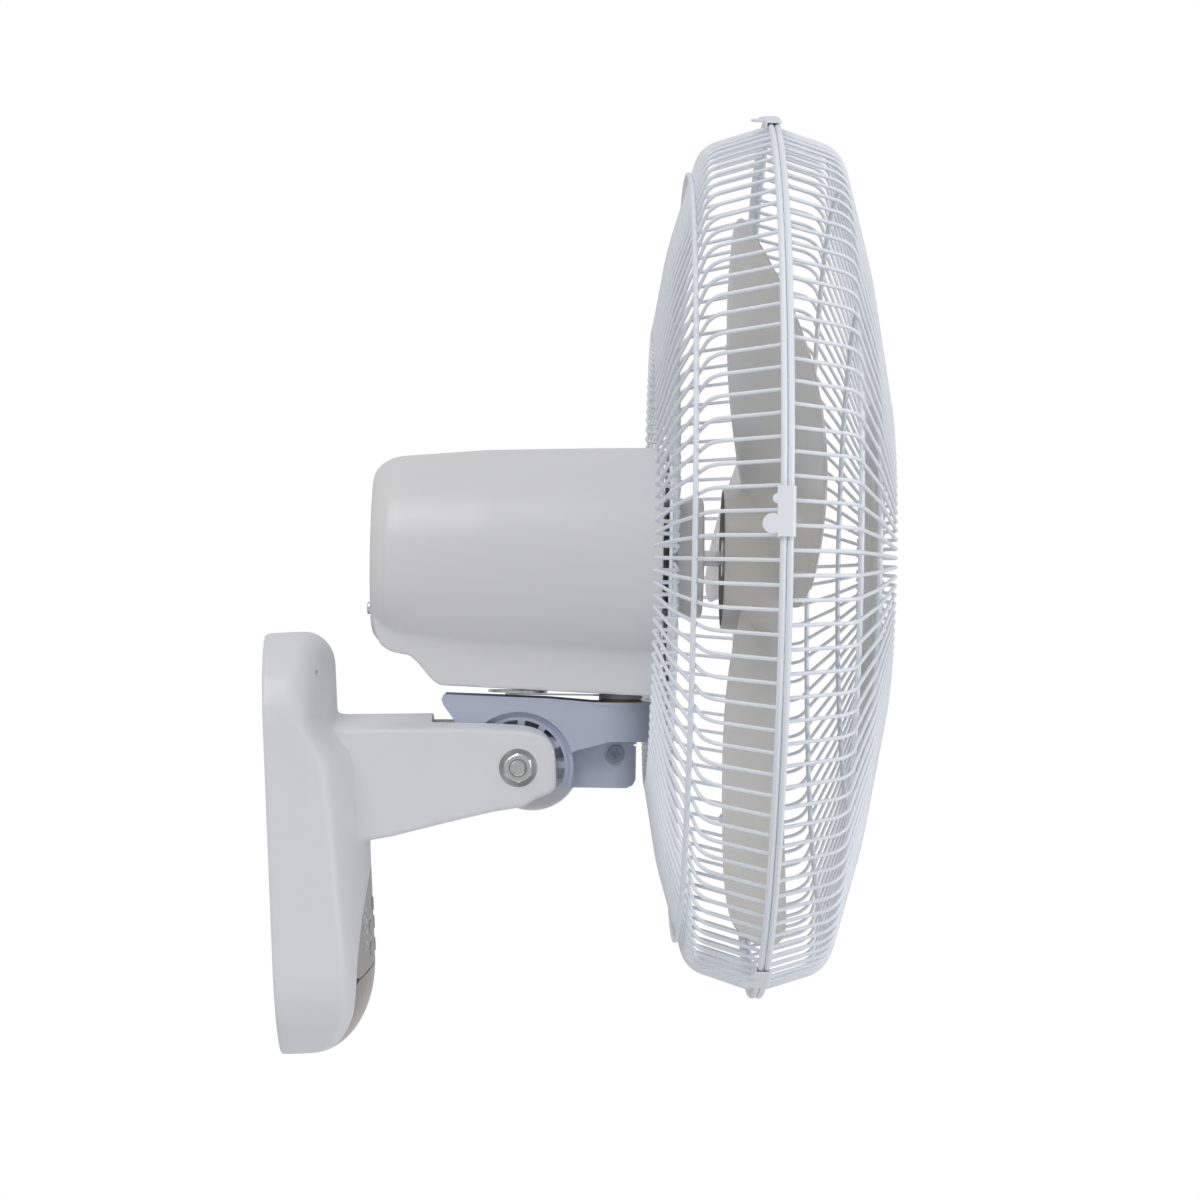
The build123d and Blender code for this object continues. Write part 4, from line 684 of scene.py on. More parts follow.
def add_shape(mesh: bmesh.types.BMesh, solid: bmesh.types.BMesh, place: Matrix = IN_PLACE) -> None:
    """Put a shape into another one.

    Args:
        mesh: The shape that grows.
        solid: The shape to add. It is freed here.
        place: Where it goes.
    """
    spare = bpy.data.meshes.new("shape")
    solid.to_mesh(spare)
    solid.free()
    spare.transform(place)
    mesh.from_mesh(spare)
    bpy.data.meshes.remove(spare)


def join(
    piece: bpy.types.Object, solids: list[bmesh.types.BMesh], place: Matrix = IN_PLACE, slot: int = 0
) -> None:
    """Join solids to a piece as they are.

    Args:
        piece: A mesh object.
        solids: Closed shapes, freed here.
        place: Where they go.
        slot: Number of their material on the piece.
    """
    whole = bmesh.new()
    whole.from_mesh(piece.data)
    plain = len(whole.faces)
    for solid in solids:
        add_shape(whole, solid, place)
    whole.faces.ensure_lookup_table()
    for face in whole.faces[plain:]:
        face.material_index = slot
    whole.to_mesh(piece.data)
    whole.free()


def soft_skin(
    solids: list[bmesh.types.BMesh], name: str, finish: Finish, voxel_mm: float, passes: int
) -> bpy.types.Object:
    """Join solids in one skin with soft fillets.

    Args:
        solids: Closed shapes that overlap, freed here.
        name: Name of the piece.
        finish: Its finish.
        voxel_mm: Size of the cells that the skin is built from.
        passes: Passes of smoothing.

    Returns:
        The piece, in millimetres.
    """
    whole = bmesh.new()
    for solid in solids:
        add_shape(whole, solid)
    piece = piece_from(whole, name, finish)
    remesh = piece.modifiers.new("one_skin", "REMESH")
    remesh.mode = "VOXEL"
    remesh.voxel_size = voxel_mm
    soften = piece.modifiers.new("fillets", "SMOOTH")
    soften.factor = 0.5
    soften.iterations = passes
    evaluated_copy(piece)
    return piece


def cut(piece: bpy.types.Object, cutters: list[bmesh.types.BMesh], operation: str = "DIFFERENCE") -> None:
    """Take solids out of a piece, or keep what lies inside them.

    Args:
        piece: Closed mesh object in millimetres.
        cutters: Closed shapes, freed here.
        operation: DIFFERENCE or INTERSECT.
    """
    tools = []
    for number, solid in enumerate(cutters):
        data = bpy.data.meshes.new(f"cutter_{number}")
        solid.to_mesh(data)
        solid.free()
        tool = new_object(f"cutter_{number}", data)
        tools.append(tool)
        step = piece.modifiers.new(f"cut_{number}", "BOOLEAN")
        step.operation = operation
        step.object = tool
        step.solver = "EXACT"
    evaluated_copy(piece)
    for tool in tools:
        bpy.data.objects.remove(tool)


def finished(
    piece: bpy.types.Object, place: Matrix, finish: Finish, smooth_deg: float = 38.0
) -> bpy.types.Object:
    """Move a piece from millimetres to its place and dress it.

    Args:
        piece: Piece drawn in millimetres.
        place: Matrix to the row frame.
        finish: Finish of the whole piece.
        smooth_deg: Edges flatter than this are shaded smooth.

    Returns:
        The same piece.
    """
    piece.data.transform(place)
    dress(piece, finish)
    piece.data.polygons.foreach_set("use_smooth", [True] * len(piece.data.polygons))
    piece.data.set_sharp_from_angle(angle=radians(smooth_deg))
    return piece


# ---------------------------------------------------------------- casing and arm
@dataclass
class Casing:
    """The moulded casing with its arm, and the panel and lens in its front."""

    width: float = 118.0
    height: float = 211.4
    corner: float = 46.0
    depth: float = 47.6
    side_depth: float = 31.0
    wall: float = 2.6
    dome_depth: float = 33.6
    dome_side: float = 13.0
    step_top: float = 62.0
    step_drop: float = 22.0
    # how soon the sides deepen below the step, and how far they may stand out beside the middle
    side_power: float = 0.6
    side_limit: float = 0.72
    # heights over which the front rounds back at the top and the foot, and how far
    top_round: float = 17.0
    top_recess: float = 15.0
    foot_round: float = 45.0
    foot_recess: float = 31.0
    # the rows stop just short of both ends, where the section would close up
    end_share: float = 0.9995
    rows_up: int = 90
    steps_across: int = 40
    arm_half: float = 34.0
    crown: float = 7.0
    crown_fade: float = 14.0
    crown_steps: int = 10
    voxel: float = 1.15
    passes: int = 7
    fork_half: float = 25.0
    ear_out: float = 131.0
    ear_radius: float = 24.8
    # rectangles cut between the ears and inside the arm, as lowest and highest (out, up)
    fork: tuple[Point, Point] = ((82.0, -40.0), (170.0, 80.0))
    hollow: tuple[Point, Point] = ((24.0, 9.0), (76.0, 49.0))
    hollow_half: float = 30.8
    bolt_hole_radius: float = 4.05
    pivot_out: float = 124.3
    pivot_up: float = 34.0
    arm_tip: float = 143.2
    recess_radius: float = 9.5
    recess_seat: float = 29.4
    sheet: float = 1.6
    seam_gap: float = 0.25
    leaf_tip: float = -14.0
    leaf_half: float = 47.0
    # points on the leaf's side as (share of its half width, up), the first from the tip
    leaf_shoulder: Point = (0.66, -19.0)
    leaf_cheek: Point = (0.84, -88.0)
    leaf_foot: Point = (0.36, -103.5)
    leaf_end: Point = (0.3, -125.0)
    tip_growth: float = 1.4
    seam: float = -62.5
    panel_above: float = 0.3
    lens_below: float = 0.35
    bow_radius: float = 210.2
    bow_steps: int = 12
    lens_back: float = 16.5
    # cutters go on to this distance from the wall, past the casing's front
    past_front: float = 60.0
    past_arm: float = 6.0
    past_wall: float = 1.0
    hole_side: float = 38.5
    hole_up: float = 85.2
    hole_radius: float = 1.5
    hole_seat: float = 14.0
    key_hole: Point = (11.4, 6.8)
    ink_proud: float = 0.08
    ink_depth: float = 0.4
    # plain marks as (length, height): one over each key, then columns of dots and dashes, each
    # from its first place (side, up) downwards
    key_mark: Point = (4.6, 0.8)
    key_mark_rise: float = 5.2
    columns: tuple[tuple[Point, Point], ...] = (((27.5, -34.0), (2.6, 2.6)), ((33.0, -37.0), (4.2, 0.9)))
    mark_step: float = 5.4
    marks_down: int = 4
    keys: tuple[Point, ...] = ((0.0, -33.0), (-15.0, -43.5), (15.0, -43.5), (-15.0, -54.5), (15.0, -54.5))
    # side outline of the arm at its cheeks, as (out, up)
    arm_top: tuple[Point, ...] = (
        (26, 57.5), (39, 56.2), (60, 55.6), (86.3, 54.8), (110, 53.4), (126, 51.9), (132.4, 50.9),
        (137.6, 49.0), (140.8, 46.3), (142.7, 42.6), (143.2, 38.0),
    )
    arm_foot: tuple[Point, ...] = (
        (26, -3.0), (39, -0.5), (52.8, 2.3), (86.3, 7.8), (110, 12.4), (119, 14.3), (132.4, 18.2),
        (137.6, 19.8), (140.8, 21.2), (142.7, 23.6), (143.2, 28.0),
    )

    def section(self, up: float) -> tuple[float, float, float]:
        """Section of the casing at a height.

        Args:
            up: The height.

        Returns:
            Half width, side depth and middle depth.
        """
        half_height = self.height / 2
        beyond = max(abs(up) - (half_height - self.corner), 0.0)
        half = self.width / 2 - self.corner + sqrt(max(self.corner**2 - beyond**2, 0.0))
        share = clamped((self.step_top - up) / self.step_drop)
        blend = share * share * (3 - 2 * share)
        middle = self.dome_depth + (self.depth - self.dome_depth) * blend
        for end, height, depth in (
            (up, self.top_round, self.top_recess), (-up, self.foot_round, self.foot_recess)
        ):
            share = clamped((end - half_height + height) / height)
            middle -= depth * (1 - sqrt(1 - share * share))
        slope = clamped((self.step_top - up) / (self.step_top + half_height / 2))
        side = self.dome_side + (self.side_depth - self.dome_side) * slope**self.side_power
        return half, min(side, middle * self.side_limit), middle

    def front(self, x: float, up: float) -> float:
        """Distance of the casing's front from the wall.

        Args:
            x: Place across.
            up: Place up.

        Returns:
            The distance.
        """
        half, side, middle = self.section(up)
        share = min(abs(x) / half, 1.0)
        return side + (middle - side) * sqrt(1 - share * share)

    def form(self, inset: float, open_back: bool = False) -> bmesh.types.BMesh:
        """Draw the casing without the arm.

        Args:
            inset: How far it is drawn in on every side.
            open_back: Let it stand out through the wall's plane, as a cutter does.

        Returns:
            A closed shape in millimetres.
        """
        half_height = self.height / 2
        back = -self.past_wall if open_back else inset
        rows = []
        for share in [-cos(pi * k / self.rows_up) for k in range(self.rows_up + 1)]:
            half, side, middle = self.section(share * half_height * self.end_share)
            half -= inset
            side -= inset / 2
            middle -= inset
            ring = [(half, back), (half, side * 0.5), (half, side)]
            turns = [pi * k / self.steps_across for k in range(1, self.steps_across)]
            ring += [(half * cos(turn), side + (middle - side) * sin(turn)) for turn in turns]
            ring += [(-half, side), (-half, side * 0.5), (-half, back)]
            rows.append([(x, -out, share * (half_height - inset)) for x, out in ring])
        return skin(rows)

    def arm(self) -> bmesh.types.BMesh:
        """Draw the arm with its crowned top, from inside the casing to its tip.

        Returns:
            A closed shape in millimetres.
        """
        rows = []
        edge = self.arm_half
        for (out, top), (_, foot) in zip(self.arm_top, self.arm_foot):
            fade = clamped((self.arm_tip - out) / self.crown_fade) ** 0.5
            across = [edge * (1 - k / self.crown_steps) for k in range(2 * self.crown_steps + 1)]
            ring = [(x, top + self.crown * (1 - (x / edge) ** 2) * fade) for x in across]
            ring += [(-edge, foot + (top - foot) * s) for s in (0.75, 0.5, 0.25, 0.0)]
            ring += [(-edge * s, foot) for s in (0.6, 0.2, -0.2, -0.6)]
            ring += [(edge, foot + (top - foot) * s) for s in (0.0, 0.25, 0.5, 0.75)]
            rows.append([(x, -out, up) for x, up in ring])
        return skin(rows)

    def bow(self, level: float, x: float) -> float:
        """Height of the bowed line between panel and lens, beside its middle."""
        return level - self.bow_radius + sqrt(self.bow_radius**2 - x * x)

    def leaf(self, grow: float, lower: float | None = None, upper: float | None = None) -> list[Point]:
        """Outline of the leaf in the casing's front, cut by a bowed line.

        Args:
            grow: Growth on every side.
            lower: Height of the line that ends the leaf below.
            upper: Height of the line that ends it above.

        Returns:
            Corners as (side, up).
        """
        half = self.leaf_half + grow
        tip = self.leaf_tip + grow * self.tip_growth
        shoulder, cheek, foot, end = (
            (half * share, up)
            for share, up in (self.leaf_shoulder, self.leaf_cheek, self.leaf_foot, self.leaf_end)
        )
        right = arc((0, tip), (shoulder[0], tip + shoulder[1]), (half, self.seam))
        right += arc((half, self.seam), cheek, foot)[1:] + [end]
        line = []
        if lower is not None:
            right = [p for p in right if p[1] > self.bow(lower, p[0])]
            across = [right[-1][0] * (1 - k / self.bow_steps) for k in range(1, 2 * self.bow_steps)]
            line = [(x, self.bow(lower, x)) for x in across]
        if upper is not None:
            right = [p for p in right if p[1] < self.bow(upper, p[0])]
            across = [right[0][0] * (k / self.bow_steps - 1) for k in range(1, 2 * self.bow_steps)]
            line = [(x, self.bow(upper, x)) for x in across]
        left = [(-x, up) for x, up in reversed(right) if x > 0]
        return line + right + left if upper is not None else right + line + left

    def build(self) -> bpy.types.Object:
        """Join casing and arm with soft fillets, then cut what is crisp in the mould.

        Returns:
            The piece in place.
        """
        ear = circle((self.ear_out, self.pivot_up), self.ear_radius)
        solids = [self.form(0), self.arm(), prism(ear, "X", self.fork_half, self.arm_half)]
        piece = soft_skin(solids, "casing_with_arm", Finishes.casing, self.voxel, self.passes)
        recess = circle((self.pivot_out, self.pivot_up), self.recess_radius)
        bolt_hole = circle((self.pivot_out, self.pivot_up), self.bolt_hole_radius)
        edge = self.arm_half + self.past_arm
        cutters = [
            prism(oblong(*self.fork), "X", -self.fork_half, self.fork_half),
            prism(recess, "X", -edge, -self.recess_seat),
            prism(recess, "X", self.recess_seat, edge),
            prism(bolt_hole, "X", -edge, edge),
            self.form(self.wall, open_back=True),
            prism(oblong(*self.hollow), "X", -self.hollow_half, self.hollow_half),
            prism(self.leaf(self.seam_gap), "Y", self.lens_back, self.past_front),
        ]
        for side in (-1, 1):
            hole = circle((side * self.hole_side, self.hole_up), self.hole_radius)
            cutters.append(prism(hole, "Y", self.hole_seat, self.past_front))
        cut(piece, cutters)
        return finished(piece, PLACE.base, Finishes.casing)

    def cover(self, name: str, outline: Sequence[Point], finish: Finish) -> bpy.types.Object:
        """A sheet that fills part of the leaf, flush with the casing's front.

        Args:
            name: Name of the piece.
            outline: Its outline as (side, up).
            finish: Its finish.

        Returns:
            The piece in place.
        """
        sheet = prism(outline, "Y", self.lens_back, self.past_front)
        piece = piece_from(sheet, name, finish)
        cut(piece, [self.form(0)], "INTERSECT")
        cutters = [self.form(self.sheet)]
        cutters += [
            prism(round_slot(at, *self.key_hole), "Y", self.lens_back, self.past_front) for at in self.keys
        ]
        cut(piece, cutters)
        return finished(piece, PLACE.base, finish)

    def panel(self) -> bpy.types.Object:
        """Make the panel with its key holes and the plain marks beside the keys.

        Returns:
            The piece in place.
        """
        outline = self.leaf(0, lower=self.seam + self.panel_above)
        piece = self.cover("control_panel_sheet", outline, Finishes.panel)
        marks = [round_slot((x, up + self.key_mark_rise), *self.key_mark) for x, up in self.keys]
        for (x, up), size in self.columns:
            marks += [
                round_slot((side * x, up - self.mark_step * k), *size)
                for side in (-1, 1) for k in range(self.marks_down)
            ]
        fronts = [self.front(*mark[0]) for mark in marks]
        ink = [
            prism(mark, "Y", front - self.ink_depth, front + self.ink_proud)
            for mark, front in zip(marks, fronts)
        ]
        join(piece, ink, PLACE.base, slot=1)
        piece.data.materials.append(Finishes.print_ink.build())
        return piece

    def lens(self) -> bpy.types.Object:
        """The smoked lens under the panel, which wraps under the casing's foot."""
        return self.cover("smoked_lens", self.leaf(0, upper=self.seam - self.lens_below), Finishes.lens)


# ---------------------------------------------------------------- motor cover
@dataclass
class MotorCover:
    """The round motor cover with the gear case under it."""

    back: float = -75.5
    front: float = 70.0
    wall: float = 2.4
    gearcase_half: float = 29.0
    swing_ahead: float = 51.0
    crank_ahead: float = -1.0
    swing_hole_radius: float = 11.3
    crank_hole_radius: float = 3.8
    vents: int = 10
    vent_ring: float = 24.0
    vent: Point = (16.0, 3.0)
    voxel: float = 1.2
    passes: int = 6
    # how far cutters go on past an end, and in from the back for the vents
    past_end: float = 5.0
    vent_depth: float = 6.0
    # outline of the round body as (ahead, radius)
    barrel: tuple[Point, ...] = (
        (-75.5, 0), (-75.5, 38.5), (-74.3, 41.6), (-71.4, 44.9), (-67.2, 47.5), (-62.0, 49.1),
        (-18.7, 52.9), (40.0, 54.9), (70.0, 55.5), (70.0, 0),
    )
    # outline of the gear case as (ahead, up)
    gearcase: tuple[Point, ...] = (
        (-74.2, 84), (-74.2, 73.0), (-72.7, 66.3), (-70.0, 60.2), (-65.1, 56.8), (-59.5, 55.6), (-54.9, 55.0),
        (-50.8, 51.0), (-43.6, 42.8), (-39.8, 40.3), (65.2, 36.6), (70.0, 36.5), (70.0, 84),
    )
    # outline of the room inside the gear case
    pocket: tuple[Point, ...] = ((-66, 80), (-66, 62), (-54, 58), (-42, 44.5), (75, 39.5), (75, 80))
    # heights between which the holes in the gear case's underside are cut
    underside: tuple[float, float] = (20.0, 60.0)

    def build(self) -> bpy.types.Object:
        """Join barrel and gear case in one skin, then hollow it.

        Returns:
            The piece in place.
        """
        box = prism(self.gearcase, "X", -self.gearcase_half, self.gearcase_half)
        solids = [lathe(self.barrel, 128), box]
        piece = soft_skin(solids, "motor_cover", Finishes.housing, self.voxel, self.passes)
        first, last = self.back + self.wall, self.front + self.past_end
        inner = lathe(
            [(first, 0), (first, 37.0), (-68, 44.6), (-18.7, 50.4), (40, 52.5), (last, 53.1), (last, 0)], 96
        )
        inside = self.gearcase_half - self.wall
        cutters = [
            inner, prism(self.pocket, "X", -inside, inside),
            prism(circle((0, self.swing_ahead), self.swing_hole_radius), "Z", *self.underside),
            prism(circle((0, self.crank_ahead), self.crank_hole_radius), "Z", *self.underside),
        ]
        for k in range(self.vents):
            angle = 2 * pi * k / self.vents
            at = (self.vent_ring * cos(angle), AXIS_UP + self.vent_ring * sin(angle))
            vent = round_slot(at, *self.vent, angle)
            cutters.append(prism(vent, "Y", self.back - self.past_end, self.back + self.vent_depth))
        cut(piece, cutters)
        return finished(piece, PLACE.head, Finishes.housing)


# ---------------------------------------------------------------- guards
@dataclass
class Guard:
    """One wire guard: bent wires in equal steps, and round hoops.

    Attributes:
        name: Name of the piece.
        corners: Line of a wire as (ahead, radius).
        radii: Bends at the line's inner corners.
        first_deg: Angle of the first wire.
        hoops: Hoops as (ahead, radius, radius of the wire).
        wires: Number of wires.
        wire_radius: Radius of a wire.
        hoop_sides: Sides of a hoop's section.
        hoop_steps: Steps round a hoop.
    """

    name: str
    corners: list[Point]
    radii: list[float]
    first_deg: float
    hoops: list[tuple[float, float, float]]
    wires: int = 120
    wire_radius: float = 0.95
    hoop_sides: int = 12
    hoop_steps: int = 240

    def build(self) -> bpy.types.Object:
        """Run the trees on the bent line and add the hoops.

        Returns:
            One plain mesh object in place.
        """
        line = rounded(self.corners, self.radii)
        data = bpy.data.meshes.new(self.name)
        verts = [(-r, -ahead, 0.0) for ahead, r in line]
        data.from_pydata(verts, [(i, i + 1) for i in range(len(verts) - 1)], [])
        piece = new_object(self.name, data)
        run_tree(piece, wire_tree(), wire_radius=self.wire_radius, material=Finishes.wire.build())
        step_round(piece, self.wires, self.first_deg, Finishes.wire)
        join(piece, [
            lathe(circle((ahead, radius), thick, self.hoop_sides), self.hoop_steps)
            for ahead, radius, thick in self.hoops
        ])
        return finished(piece, PLACE.head, Finishes.wire, smooth_deg=50)


# ---------------------------------------------------------------- fan wheel
@dataclass
class FanWheel:
    """Pitched blades, twisted from the hub to the rim, on a cup-shaped hub."""

    blades: int = 3
    first_deg: float = 27.0
    radius: float = 195.0
    root: float = 34.0
    corner: float = 20.0
    root_thickness: float = 3.2
    rim_thickness: float = 1.9
    # rows of the blade's mesh up to its rounded corners and through them, and half its columns
    rows_plain: int = 24
    rows_corner: int = 12
    columns_half: int = 14
    # the blade's section near the hub and near the rim, as (across, ahead)
    root_line: tuple[Point, ...] = ((-62, 138.0), (-35, 131.0), (0, 119.5), (35, 106.5), (66, 97.0))
    rim_line: tuple[Point, ...] = ((-118, 130.0), (-60, 140.5), (0, 134.0), (60, 117.0), (126, 100.5))
    root_at: float = 12.0
    rim_at: float = 202.0
    # outline of the hub as (ahead, radius)
    hub_outline: tuple[Point, ...] = (
        (101.0, 34.4), (101.0, 36.4), (101.6, 37.0), (128.0, 37.0), (130.0, 36.2), (131.0, 34.2),
        (131.2, 20.0), (131.2, 4.1), (101.0, 4.1), (101.0, 9.5), (128.0, 9.5), (128.0, 34.4),
    )
    # angles of both edges from the blade's middle, as (radius, degrees)
    trailing: tuple[Point, ...] = ((35.5, -59.0), (115.0, -36.8), (195.0, -33.0))
    leading: tuple[Point, ...] = ((35.5, 50.0), (115.0, 44.0), (195.0, 33.0))

    @staticmethod
    def through(points: Sequence[Point], at: float) -> float:
        """Value of the smooth curve through some points.

        Args:
            points: The points as (place, value).
            at: Where to read the curve.

        Returns:
            The value there.
        """
        total = 0.0
        for i, (place, value) in enumerate(points):
            for j, (other, _) in enumerate(points):
                if i != j:
                    value *= (at - other) / (place - other)
            total += value
        return total

    def ahead(self, along: float, across: float) -> float:
        """Station of the blade's middle surface.

        Args:
            along: Distance from the axis along the blade's middle.
            across: Distance to the side of it.

        Returns:
            The distance ahead.
        """
        share = (along - self.root_at) / (self.rim_at - self.root_at)
        mixed = [
            (k, (1 - share) * a[0] + share * b[0], (1 - share) * a[1] + share * b[1])
            for k, (a, b) in enumerate(zip(self.root_line, self.rim_line))
        ]
        # halving finds where the mixed section passes the place across
        low, high = -0.5, 4.5
        for _ in range(24):
            middle = (low + high) / 2
            if self.through([(k, t) for k, t, _ in mixed], middle) < across:
                low = middle
            else:
                high = middle
        return self.through([(k, station) for k, _, station in mixed], low)

    def blade(self) -> bmesh.types.BMesh:
        """Draw one blade with rounded edges and rim corners, its middle towards -X.

        Returns:
            A closed shape about the axis, in millimetres.
        """
        plain = self.radius - self.corner
        straight, bent, across_half = self.rows_plain, self.rows_corner, self.columns_half
        radii = [self.root + (plain - self.root) * k / straight for k in range(straight + 1)]
        radii += [plain + self.corner * sin(pi / 2 * k / bent) for k in range(1, bent + 1)]
        shares = [sin(pi / 2 * (k / across_half - 1)) for k in range(2 * across_half + 1)]
        rows = []
        for radius in radii:
            over = max(0.0, (radius - plain) / self.corner)
            shrink = degrees(self.corner * (1 - sqrt(max(0.0, 1 - over**2))) / radius)
            start = self.through(self.trailing, radius) + shrink
            end = self.through(self.leading, radius) - shrink
            slim = (radius - self.root) / (self.radius - self.root)
            thickness = self.root_thickness + (self.rim_thickness - self.root_thickness) * slim
            upper, lower = [], []
            for share in shares:
                angle = radians((start + end) / 2 + (end - start) / 2 * share)
                along, across = radius * cos(angle), radius * sin(angle)
                # the blade thins out in a round at both edges, and a little at the rim
                half = thickness / 2 * sqrt(max(0.0, 1 - share**8)) * sqrt(1 - 0.8 * over**4)
                station = self.ahead(along, across)
                upper.append((-along, -station - half, across))
                lower.append((-along, -station + half, across))
            rows.append(upper + lower[-2:0:-1])
        return skin(rows)

    def build(self) -> bpy.types.Object:
        """Step the blade round the axis and add the hub.

        Returns:
            One plain mesh object in place.
        """
        piece = piece_from(self.blade(), "fan_wheel", Finishes.blade)
        step_round(piece, self.blades, self.first_deg, Finishes.blade)
        join(piece, [lathe(self.hub_outline)])
        return finished(piece, PLACE.head, Finishes.blade, smooth_deg=40)


# ---------------------------------------------------------------- small turned pieces
@dataclass
class Trim:
    """Pieces with rounded edges that stand for sharp edged ones of the CAD model."""

    # outlines as (ahead, radius)
    badge_outline: tuple[Point, ...] = (
        (173.55, 0), (173.55, 45.2), (173.9, 46.2), (174.8, 46.9), (175.8, 47.0), (177.2, 46.9),
        (178.2, 46.0), (178.8, 43.0), (179.2, 30.0), (179.45, 12.0), (179.45, 0),
    )
    nut_outline: tuple[Point, ...] = (
        (74.5, 21.05), (74.5, 26.0), (77.6, 26.0), (77.6, 29.0), (77.9, 29.7), (78.6, 30.0), (89.6, 30.0),
        (90.6, 29.6), (91.0, 28.6), (91.0, 21.05),
    )
    flats: float = 13.0
    nut_height: float = 6.5
    nut_seat: float = -30.6
    nut_bore: float = 4.03
    chamfer: float = 0.58
    face_share: float = 0.97
    bore_chamfer: float = 0.6
    steps: int = 96

    def badge(self) -> bpy.types.Object:
        """The plain disc in the middle of the front guard."""
        disc = piece_from(lathe(self.badge_outline), "guard_badge", Finishes.housing)
        return finished(disc, PLACE.head, Finishes.housing)

    def guard_nut(self) -> bpy.types.Object:
        """The ring nut that holds the rear guard on the motor."""
        nut = piece_from(lathe(self.nut_outline), "ring_nut", Finishes.housing)
        return finished(nut, PLACE.head, Finishes.housing)

    def pivot_nut(self) -> bpy.types.Object:
        """Make the hexagon nut on the tilt bolt, chamfered on both faces.

        Returns:
            The piece in place.
        """
        flat = self.flats / 2
        face = flat * self.face_share
        turns = [2 * pi * k / self.steps for k in range(self.steps)]
        reach = [flat / cos((turn + pi / 6) % (pi / 3) - pi / 6) for turn in turns]
        drop = [(r - face) * self.chamfer for r in reach]

        def ring(height: float, radius: float) -> list[Point]:
            """A round loop as (height, radius)."""
            return [(height, radius)] * self.steps

        loops = [
            ring(0.0, self.nut_bore), ring(0.0, face), list(zip(drop, reach)),
            [(self.nut_height - d, r) for d, r in zip(drop, reach)], ring(self.nut_height, face),
            ring(self.nut_height, self.nut_bore + self.bore_chamfer),
            ring(self.nut_height - self.bore_chamfer, self.nut_bore),
        ]
        out, up = Casing.pivot_out, Casing.pivot_up
        rows = [
            [(self.nut_seat - h, -out + r * cos(a), up + r * sin(a)) for (h, r), a in zip(loop, turns)]
            for loop in loops
        ]
        piece = piece_from(skin(rows, closed=True), "hexagon_nut", Finishes.zinc)
        return finished(piece, PLACE.base, Finishes.zinc, smooth_deg=25)


